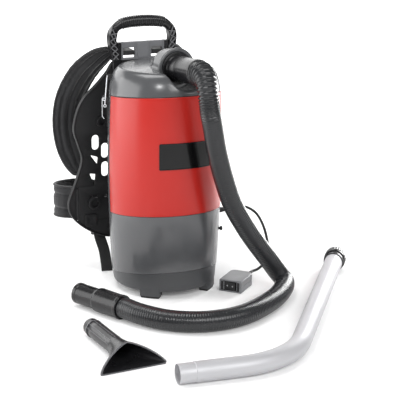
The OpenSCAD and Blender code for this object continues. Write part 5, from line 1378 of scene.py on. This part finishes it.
def build_collar():
    """Locking collar: a turned sleeve with two bands; on the grip the radius rises and falls as
    flat-topped teeth."""
    line = wand_line()
    before, origin = on_wand([[*line[-2], 0], [*line[-1], 0]])
    axis = unit(origin - before)
    profile = filleted([[20.05, -40], [22.6, -40], [22.6, -36.4], [21.6, -36], [21.6, -24], [24.4, -24],
                        [24.4, -19.2], [21.8, -18.6], [21.8, -14.2], [23.6, -13.6], [23.6, 3], [22, 4],
                        [20.05, 4]], [0.2, 0.5, 0.4, 0.2, 0.3, 0.6, 0.6, 0.2, 0.3, 0.5, 0.8, 0.6, 0.2], 3)
    teeth, tooth_steps = 28, 8
    sides = teeth * tooth_steps
    points, faces = turned(profile, origin, axis, sides)
    rings = points.reshape(len(profile), sides, 3)
    phase = (np.arange(sides) % tooth_steps) / tooth_steps
    tooth = np.clip(1.6 - 4.4 * np.abs(phase - 0.5), 0, 1) * 0.95
    grow = ((profile[:, 0] > 23) & (profile[:, 1] > -14) & (profile[:, 1] < 3.4)).astype(float)
    middle = origin + profile[:, 1:, None] * axis
    out = unit(rings - middle)
    rings = rings + out * (grow[:, None] * tooth[None])[..., None]
    make("wand_collar_toothed", (rings.reshape(-1, 3), faces), "wand_collar", "black_plastic",
         stands_for=["wand_collar"], sharp=35)


TOOL_R, TOOL_LEN, MOUTH_X, MOUTH_HALF, MOUTH_LEAN = 17.5, 112, 200, 67, 32
TOOL_AT, TOOL_TURN = np.array([-254.0, -237.0, TOOL_R]), math.radians(-85.5)


def on_tool(points):
    """Points of the tool's own frame, turned about the vertical and moved to the tool's place."""
    return placed(points, TOOL_AT, TOOL_TURN)


def build_tool():
    """Combination tool: a section that goes from the tube's circle to a wide vault over a flat floor. Its
    upper half is a superellipse whose power falls from 2 to 1.3, its lower half grows square, and the
    mouth leans back towards the top of the vault."""
    straight = np.array([0, 0.5, 1.2, 8, 15.4, 16.0, 16.4, 40, 70, 100, TOOL_LEN])
    sides, steps = 96, 44
    t = np.concatenate([0 * straight, np.linspace(0.02, 1, steps)])[:, None]
    phi = (np.arange(sides) * 2 * np.pi / sides)[None]
    n = np.sin(phi)
    r = np.full(len(t), TOOL_R)[:, None]
    r[:6, 0] = 16.2, 16.7, 16.9, 16.9, 16.9, 17.2
    half = r + (MOUTH_HALF - r) * t ** 1.8
    middle = -14.3 * t ** 0.9
    above, below = r + 1.6 * np.minimum(1, 4 * t) + 6.5 * t ** 2 - middle, r + middle
    p_up, p_low = 2 - 0.7 * t, 2 + 4 * t
    power = np.where(n >= 0, p_up, p_low)
    c = np.cos(phi)
    y = half * np.sign(c) * np.abs(c) ** (2 / power)
    rise = np.where(n >= 0, above, below) * np.sign(n) * np.abs(n) ** (2 / power)
    reach = MOUTH_X - MOUTH_LEAN * np.clip(rise, 0, None) / above
    before = np.concatenate([straight, np.zeros(steps)])[:, None]
    x = np.where(t > 0, TOOL_LEN + (reach - TOOL_LEN) * t, before)
    outer = np.stack([x, y, middle + rise], -1)
    points, faces = on_tool(outer).reshape(-1, 3), grid(len(t), sides, False, True)
    tool = make("combination_tool_flared", (points, faces), "tool", "black_plastic",
                finish="tool_black", stands_for=["combination_tool"], sharp=50)
    # the open skin's faces are turned outwards, judged by the one nearest to a point on the tube's axis
    bm = bmesh.new()
    bm.from_mesh(tool.data)
    centre = Vector(on_tool([60.0, 0, 0]) * MM)
    face = min(bm.faces, key=lambda q: (q.calc_center_median() - centre).length)
    if face.normal.dot(face.calc_center_median() - centre) < 0:
        bmesh.ops.reverse_faces(bm, faces=bm.faces)
    bm.to_mesh(tool.data)
    bm.free()
    wall = tool.modifiers.new("wall", "SOLIDIFY")
    wall.thickness = 2.0 * MM
    wall.offset = -1
    wall.use_even_offset = False
    # ribs along the tube and the bead round the arch, in a lighter grey finish whose colour paints their
    # highlight
    ribs = []
    for angle in (20, 50, 90, 130, 160):
        a = math.radians(angle)
        d = np.array([0, math.cos(a), math.sin(a)])
        line = np.stack([np.linspace(17, 119, 12)] * 3, 1) * [1, 0, 0] + 17.6 * d
        b = np.array([0, -math.sin(a), math.cos(a)])
        sec = filleted(rect(-0.6, -0.8, 0.6, 0.85), 0.35, 2)
        rings = line[:, None] + sec[:, :1] * b + sec[:, 1:] * d
        ribs.append(skin(on_tool(rings)))
    lip = on_tool(outer[-1])
    middle_line = smooth_line(lip[[k % sides for k in range(0, sides + 3, 3)]], 3)[:-6]
    ribs.append(swept(middle_line, squircle(1.3, 1.9, 2.4, 10), [0, 0, 1]))
    ribs.append(turned(filleted(rect(17.2, 15.5, 18.7, 18.5), [0, 0.5, 0.5, 0]),
                       on_tool([0.0, 0, 0]), on_tool([1.0, 0, 0]) - on_tool([0.0, 0, 0]), 64))
    make("tool_ribs", joined(*ribs), "tool", "black_plastic", finish="tool_rib_painted_highlight", sharp=40)


# ---------------------------------------------------------------- switch box
def build_switch_box():
    """Switch box: stacked prisms of one rounded outline, the middle ones with the rocker's recess cut into
    their outline, the outer edges drawn in by a quarter circle."""
    def outline(notch):
        back = [[74, -26], [74, 26]]
        face = [[0, 26], [0, -26]] if not notch else [[0, 26], [0, 14.3], [21, 14.3], [21, -14.3], [0, -14.3],
                                                      [0, -26]]
        radii = [14, 14] + ([2.5, 2.5] if not notch else [2.5, 0.6, 0, 0, 0.6, 2.5])
        return filleted(back + face, radii, 6)

    def prism(notch, z0, z1, r0, r1):
        plan = outline(notch)
        n = len(plan)
        t = unit(np.roll(plan, -1, 0) - np.roll(plan, 1, 0))
        inward = np.stack([-t[:, 1], t[:, 0]], 1)
        q = np.radians([0, 22.5, 45, 67.5, 90])
        rows = [(z0 + r0 * (1 - math.cos(a)), r0 * (1 - math.sin(a))) for a in q] if r0 else [(z0, 0.0)]
        tops = [(z1 - r1 * (1 - math.cos(a)), r1 * (1 - math.sin(a))) for a in q[::-1]] if r1 else [(z1, 0.0)]
        rings = np.array([np.column_stack([plan + inward * d, np.full(n, z)]) for z, d in rows + tops])
        return skin(in_box(rings))
    base = joined(prism(False, 0, 5.2, 1.2, 0), prism(True, 5.2, 12.7, 0, 0.3))
    make("switch_base_shell", base, "canister", "base_grey", finish="mid_plastic", stands_for=["switch_base"],
         sharp=40)
    cover = joined(prism(True, 13.3, 22.8, 0.3, 0), prism(False, 22.8, 27, 0, 2.6))
    make("switch_cover_shell", cover, "canister", "mid_plastic", stands_for=["switch_cover"], sharp=40)
    seam = np.array([np.column_stack([outline(True) * [0.985, 0.97] + [0.5, 0],
                                      np.full(len(outline(True)), z)])
                     for z in (12.5, 13.5)])
    make("switch_seam", skin(in_box(seam)), "canister", "base_grey", finish="rubber", sharp=0)

    bars = []
    for y in (-18.6, 18.6):
        def bar(u, v, d, y=y):
            return in_box(np.stack([-1.4 + d, y - 2.6 + u, 3.5 + v], -1))
        bars.append(slab(bar, 5.2, 20, 2.2, 0.7, 5, 12, corner=1.2))
    for z in (3.6, 22.9):
        def lip(u, v, d, z=z):
            return in_box(np.stack([-0.8 + d, -16 + u, z + v], -1))
        bars.append(slab(lip, 32, 1.7, 1.4, 0.4, 10, 3))
    make("switch_bezel", joined(*bars), "canister", "black_plastic", sharp=40)


def build_rocker_marks():
    """Two small round marks on the rocker's face, one for each way that it tips: domed discs."""
    axle, tip = np.array([4, 0, 14.0]), math.radians(-8)
    c, n = math.cos(tip), math.sin(tip)
    marks = []
    for y in (-6.5, 6.5):
        face = -3.6 - 1.9 * abs(y) / 20
        spin = np.array([face * c - y * n, face * n + y * c, 0])
        d = np.array([-c, -n, 0])
        at = in_box(axle + spin)
        out = in_box(axle + spin + d) - at
        marks.append(turned([[0.01, -0.3], [1.5, -0.3], [1.5, 0.25], [1.0, 0.45], [0.01, 0.5]], at, out, 20))
    make("rocker_marks", joined(*marks), "rocker", "mid_plastic", finish="pale_mark", sharp=40)


# ---------------------------------------------------------------- filters
def build_filters():
    """Cloth filter: a cup of cloth whose radius waves in soft folds. Dust bag: a paper bag whose radius
    follows its pleats and swells in the middle. Both are turned sections with the wave of the angle added."""
    a = np.linspace(0, 2 * np.pi, 181)[:-1]
    cup_r, low_z, high_z, cloth_t = 96.4, 188.5, 394, 1.1
    z = np.linspace(low_z, high_z, 30)
    fold = (1.1 * np.sin(11 * a[None] + 1.3 * np.sin(3 * a)[None])
            * np.sin(np.pi * (z[:, None] - 188) / 210) ** 0.5)
    r_out = cup_r + fold
    outer = np.stack([r_out * np.cos(a), r_out * np.sin(a), np.broadcast_to(z[:, None], r_out.shape)], -1)
    r_in = r_out - 1.0
    inner = np.stack([r_in * np.cos(a), r_in * np.sin(a),
                      np.maximum(np.broadcast_to(z[:, None], r_in.shape), low_z + cloth_t)], -1)
    low, high = (np.stack([np.stack([q * np.cos(a), q * np.sin(a), np.full_like(a, height)], -1)
                           for q in radii])
                 for height, radii in ((low_z, (20.0, 60.0)), (low_z + cloth_t, (60.0, 20.0))))
    cup = skin(np.concatenate([low, outer, inner[::-1], high]))
    hem = turned(filleted(rect(94.6, 391.5, 97.8, 396), 1.2), (0, 0, 0), (0, 0, 1), 120)
    make("cloth_filter_hem", hem, "canister", "cloth", sharp=0)
    cloth = make("cloth_filter_cup", cup, "canister", "cloth", stands_for=["cloth_filter"], sharp=0)

    z = np.array([191.5, 192, 196, 206, 225, 250, 280, 310, 335, 352, 364, 373, 379, 383, 395.6])
    r = np.array([30, 62, 72, 81, 86, 88, 87.5, 86, 83, 78, 70, 57, 42, 31.5, 31.5])
    pleat = 2.2 * np.abs(((a * 20 / np.pi) % 2) - 1)[None] * (np.clip((r - 32) / 40, 0, 1))[:, None]
    rr = r[:, None] - pleat + 0.8 * np.sin(3 * a + 0.7)[None] * np.clip((r - 32) / 40, 0, 1)[:, None]
    bag = np.stack([rr * np.cos(a), rr * np.sin(a), np.broadcast_to(z[:, None], rr.shape)], -1)
    make("dust_bag_pleated", skin(bag), "canister", "paper", stands_for=["dust_bag"], sharp=30)


def build_frame_finishes():
    """Gives every piece that is carried over from the frame the finish that its record names."""
    special = {"grey_shell": "grey_shell cad", "black_plastic": "black_plastic cad",
               "mid_plastic": "mid_plastic cad", "alloy": "alloy cast", "hose_black": "cord_black"}
    for name, node in frame["nodes"].items():
        if node.hide_render:
            continue
        slot = SLOTS[name]
        node.data.materials.clear()
        node.data.materials.append(finish_for(special.get(slot, slot)))


# ---------------------------------------------------------------- settings
class VacuumStageSettings(bpy.types.PropertyGroup):
    """Light levels of the studio."""
    room_light: bpy.props.FloatProperty(
        name="Room light", description="Strength of the white room's own light", default=0.30, min=0, max=2)
    mirror_light: bpy.props.FloatProperty(
        name="Mirrored room", description="How bright the room looks in the gloss of a piece", default=0.25,
        min=0, max=1)
    floor_glow: bpy.props.FloatProperty(
        name="Floor glow", description="How much the floor is lifted towards white where the camera sees it",
        default=0.1, min=0, max=1)
    left_power: bpy.props.FloatProperty(
        name="Left window", description="Power of the low soft lamp on the left", default=17, min=0,
        unit="POWER")
    top_power: bpy.props.FloatProperty(
        name="Ceiling", description="Power of the wide soft lamp above", default=30, min=0, unit="POWER")
    right_power: bpy.props.FloatProperty(
        name="Right strip", description="Power of the narrow lamp on the right", default=13, min=0,
        unit="POWER")
    back_power: bpy.props.FloatProperty(
        name="Back window", description="Power of the wide soft lamp behind", default=56, min=0, unit="POWER")
    front_power: bpy.props.FloatProperty(
        name="Front", description="Power of the wide lamp in front", default=58, min=0, unit="POWER")
    key_power: bpy.props.FloatProperty(
        name="Key", description="Power of the lamp in front on the left", default=20, min=0, unit="POWER")


class VacuumSizes(bpy.types.PropertyGroup):
    """Sizes of the details that the frame does not fix."""
    rib_pitch: bpy.props.FloatProperty(
        name="Hose rib pitch", description="Distance between the hose's ribs, in mm", default=5.0, min=3,
        max=9)
    flare_pitch: bpy.props.FloatProperty(
        name="Flare rib pitch", description="Distance between the wide ribs next to the cuff, in mm",
        default=7.5, min=4, max=12)
    grip_rib_pitch: bpy.props.FloatProperty(
        name="Grip rib pitch", description="Distance between the ribs of the carry handle's grip, in mm",
        default=4.6, min=3, max=9)
    pad_width: bpy.props.FloatProperty(
        name="Pad width", description="Width of a shoulder pad at its middle, in mm", default=66, min=50,
        max=68)
    channel_deep: bpy.props.FloatProperty(
        name="Channel depth", description="Depth of the sewn channels of the pads, in mm", default=4.5,
        min=0, max=5)


class VacuumColours(bpy.types.PropertyGroup):
    """Colours of the main finishes."""
    cover: bpy.props.FloatVectorProperty(
        name="Cover", description="Colour of the front cover", subtype="COLOR", size=4, min=0, max=1,
        default=linear("#b9231b"))
    shell: bpy.props.FloatVectorProperty(
        name="Shell", description="Colour of the tub and lid", subtype="COLOR", size=4, min=0, max=1,
        default=linear("#4e4f51"))
    base: bpy.props.FloatVectorProperty(
        name="Base", description="Colour of the base cap", subtype="COLOR", size=4, min=0, max=1,
        default=linear("#414244"))
    plastic: bpy.props.FloatVectorProperty(
        name="Black plastic", description="Colour of the handle, plates and cuffs", subtype="COLOR", size=4,
        min=0, max=1, default=linear("#151517"))
    fabric: bpy.props.FloatVectorProperty(
        name="Fabric", description="Colour of the padded fabric", subtype="COLOR", size=4, min=0, max=1,
        default=linear("#1d1d1f"))
    alloy: bpy.props.FloatVectorProperty(
        name="Wand", description="Colour of the brushed tube", subtype="COLOR", size=4, min=0, max=1,
        default=linear("#c6c6c9"))


# ---------------------------------------------------------------- operators
class VACUUM_OT_stage(bpy.types.Operator):
    """Makes the camera, the floor and the lamps"""
    bl_idname = "vacuum.stage"
    bl_label = "Stage"

    def execute(self, context):
        build_stage(context.scene.vacuum_stage)
        return {"FINISHED"}


class VACUUM_OT_hose(bpy.types.Operator):
    """Makes the ribbed hose from the lid's cuff to its end"""
    bl_idname = "vacuum.hose"
    bl_label = "Hose"

    def execute(self, context):
        build_hose(context.scene.vacuum_sizes)
        return {"FINISHED"}


class VACUUM_OT_end_cuff(bpy.types.Operator):
    """Makes the stepped cuff at the hose's free end"""
    bl_idname = "vacuum.end_cuff"
    bl_label = "Hose end cuff"

    def execute(self, context):
        build_end_cuff()
        return {"FINISHED"}


class VACUUM_OT_switch_cord(bpy.types.Operator):
    """Makes the cord from the canister to the switch box"""
    bl_idname = "vacuum.switch_cord"
    bl_label = "Switch cord"

    def execute(self, context):
        build_switch_cord()
        return {"FINISHED"}


class VACUUM_OT_switch_relief(bpy.types.Operator):
    """Makes the grooved cone where the cord enters the switch box"""
    bl_idname = "vacuum.switch_relief"
    bl_label = "Strain relief"

    def execute(self, context):
        build_switch_relief()
        return {"FINISHED"}


class VACUUM_OT_tub(bpy.types.Operator):
    """Makes the tub's wall with its seat for the cover, its ledge and its mounting pads"""
    bl_idname = "vacuum.tub"
    bl_label = "Tub"

    def execute(self, context):
        build_tub()
        return {"FINISHED"}


class VACUUM_OT_side_knob(bpy.types.Operator):
    """Makes the small knob on the canister's side"""
    bl_idname = "vacuum.side_knob"
    bl_label = "Side knob"

    def execute(self, context):
        build_side_knob()
        return {"FINISHED"}


class VACUUM_OT_front_cover(bpy.types.Operator):
    """Makes the bent front cover"""
    bl_idname = "vacuum.front_cover"
    bl_label = "Front cover"

    def execute(self, context):
        build_front_cover()
        return {"FINISHED"}


class VACUUM_OT_name_plate(bpy.types.Operator):
    """Makes the bare plate on the front cover"""
    bl_idname = "vacuum.name_plate"
    bl_label = "Blank plate"

    def execute(self, context):
        build_name_plate()
        return {"FINISHED"}


class VACUUM_OT_lid(bpy.types.Operator):
    """Makes the domed lid with its port hood"""
    bl_idname = "vacuum.lid"
    bl_label = "Lid"

    def execute(self, context):
        build_lid()
        return {"FINISHED"}


class VACUUM_OT_port_rim(bpy.types.Operator):
    """Makes the port's rim and the tube that leads down from it"""
    bl_idname = "vacuum.port_rim"
    bl_label = "Port rim"

    def execute(self, context):
        build_port_rim()
        return {"FINISHED"}


class VACUUM_OT_cuff(bpy.types.Operator):
    """Makes the port's bush and the cuff that turns in it"""
    bl_idname = "vacuum.cuff"
    bl_label = "Hose cuff"

    def execute(self, context):
        build_cuff()
        return {"FINISHED"}


class VACUUM_OT_back_plate(bpy.types.Operator):
    """Makes the back plate with its rim, holes and bosses"""
    bl_idname = "vacuum.back_plate"
    bl_label = "Back plate"

    def execute(self, context):
        build_back_plate()
        return {"FINISHED"}


class VACUUM_OT_handle(bpy.types.Operator):
    """Makes the ribbed handle and its crossed posts"""
    bl_idname = "vacuum.handle"
    bl_label = "Carry handle"

    def execute(self, context):
        build_handle(context.scene.vacuum_sizes)
        return {"FINISHED"}


class VACUUM_OT_cross_plate(bpy.types.Operator):
    """Makes the slotted plate between the handle's posts"""
    bl_idname = "vacuum.cross_plate"
    bl_label = "Cross plate"

    def execute(self, context):
        build_cross_plate()
        return {"FINISHED"}


class VACUUM_OT_shoulder_pads(bpy.types.Operator):
    """Makes both quilted shoulder pads with their tape and stitches"""
    bl_idname = "vacuum.shoulder_pads"
    bl_label = "Shoulder pads"

    def execute(self, context):
        build_shoulder_pads(context.scene.vacuum_sizes)
        return {"FINISHED"}


class VACUUM_OT_belt_wings(bpy.types.Operator):
    """Makes both padded wings of the waist belt"""
    bl_idname = "vacuum.belt_wings"
    bl_label = "Belt wings"

    def execute(self, context):
        build_belt_wings(context.scene.vacuum_sizes)
        return {"FINISHED"}


class VACUUM_OT_straps(bpy.types.Operator):
    """Makes the webbing of the harness and the belt"""
    bl_idname = "vacuum.straps"
    bl_label = "Straps"

    def execute(self, context):
        build_straps()
        return {"FINISHED"}


class VACUUM_OT_buckles(bpy.types.Operator):
    """Makes the strap buckles and the belt buckle"""
    bl_idname = "vacuum.buckles"
    bl_label = "Buckles"

    def execute(self, context):
        build_buckles()
        return {"FINISHED"}


class VACUUM_OT_wand(bpy.types.Operator):
    """Makes the bent tube"""
    bl_idname = "vacuum.wand"
    bl_label = "Wand"

    def execute(self, context):
        build_wand()
        return {"FINISHED"}


class VACUUM_OT_collar(bpy.types.Operator):
    """Makes the toothed locking collar"""
    bl_idname = "vacuum.collar"
    bl_label = "Wand collar"

    def execute(self, context):
        build_collar()
        return {"FINISHED"}


class VACUUM_OT_tool(bpy.types.Operator):
    """Makes the flared tool with its ribs"""
    bl_idname = "vacuum.tool"
    bl_label = "Combination tool"

    def execute(self, context):
        build_tool()
        return {"FINISHED"}


class VACUUM_OT_switch_box(bpy.types.Operator):
    """Makes the switch box's base, cover, seam and bezel"""
    bl_idname = "vacuum.switch_box"
    bl_label = "Switch box"

    def execute(self, context):
        build_switch_box()
        return {"FINISHED"}


class VACUUM_OT_rocker_marks(bpy.types.Operator):
    """Makes the two pale marks on the rocker"""
    bl_idname = "vacuum.rocker_marks"
    bl_label = "Rocker marks"

    def execute(self, context):
        build_rocker_marks()
        return {"FINISHED"}


class VACUUM_OT_filters(bpy.types.Operator):
    """Makes the cloth filter and the dust bag"""
    bl_idname = "vacuum.filters"
    bl_label = "Filters"

    def execute(self, context):
        build_filters()
        return {"FINISHED"}


class VACUUM_OT_frame_finishes(bpy.types.Operator):
    """Gives the pieces carried over from the frame their materials"""
    bl_idname = "vacuum.frame_finishes"
    bl_label = "Frame finishes"

    def execute(self, context):
        build_frame_finishes()
        return {"FINISHED"}


# the order in which main runs the operators; a cord's end pieces come before the cord
STEPS = (
    VACUUM_OT_stage, VACUUM_OT_end_cuff, VACUUM_OT_hose, VACUUM_OT_switch_relief, VACUUM_OT_switch_cord,
    VACUUM_OT_tub, VACUUM_OT_side_knob, VACUUM_OT_front_cover, VACUUM_OT_name_plate, VACUUM_OT_lid,
    VACUUM_OT_port_rim, VACUUM_OT_cuff, VACUUM_OT_back_plate, VACUUM_OT_handle, VACUUM_OT_cross_plate,
    VACUUM_OT_shoulder_pads, VACUUM_OT_belt_wings, VACUUM_OT_straps, VACUUM_OT_buckles, VACUUM_OT_wand,
    VACUUM_OT_collar, VACUUM_OT_tool, VACUUM_OT_switch_box, VACUUM_OT_rocker_marks, VACUUM_OT_filters,
    VACUUM_OT_frame_finishes,
)


class VACUUM_PT_panel(bpy.types.Panel):
    """Lists the settings and the operators of the model."""
    bl_label = "Backpack vacuum cleaner"
    bl_idname = "VACUUM_PT_panel"
    bl_space_type = "VIEW_3D"
    bl_region_type = "UI"
    bl_category = "Vacuum"

    def draw(self, context):
        for group in (context.scene.vacuum_sizes, context.scene.vacuum_colours, context.scene.vacuum_stage):
            box = self.layout.box()
            for key in group.__annotations__:
                box.prop(group, key)
        for step in STEPS:
            self.layout.operator(step.bl_idname)


CLASSES = (VacuumStageSettings, VacuumSizes, VacuumColours, *STEPS, VACUUM_PT_panel)


def register():
    """Registers the classes and hangs the settings on the scene."""
    for cls in CLASSES:
        bpy.utils.register_class(cls)
    bpy.types.Scene.vacuum_stage = bpy.props.PointerProperty(type=VacuumStageSettings)
    bpy.types.Scene.vacuum_sizes = bpy.props.PointerProperty(type=VacuumSizes)
    bpy.types.Scene.vacuum_colours = bpy.props.PointerProperty(type=VacuumColours)


def unregister():
    """Takes the settings and the classes away again."""
    for name in ("vacuum_stage", "vacuum_sizes", "vacuum_colours"):
        delattr(bpy.types.Scene, name)
    for cls in reversed(CLASSES):
        bpy.utils.unregister_class(cls)


def main():
    """Registers the classes and runs every operator in its order."""
    register()
    for step in STEPS:
        getattr(bpy.ops.vacuum, step.bl_idname.split(".")[1])()


if __name__ == "__main__":
    main()
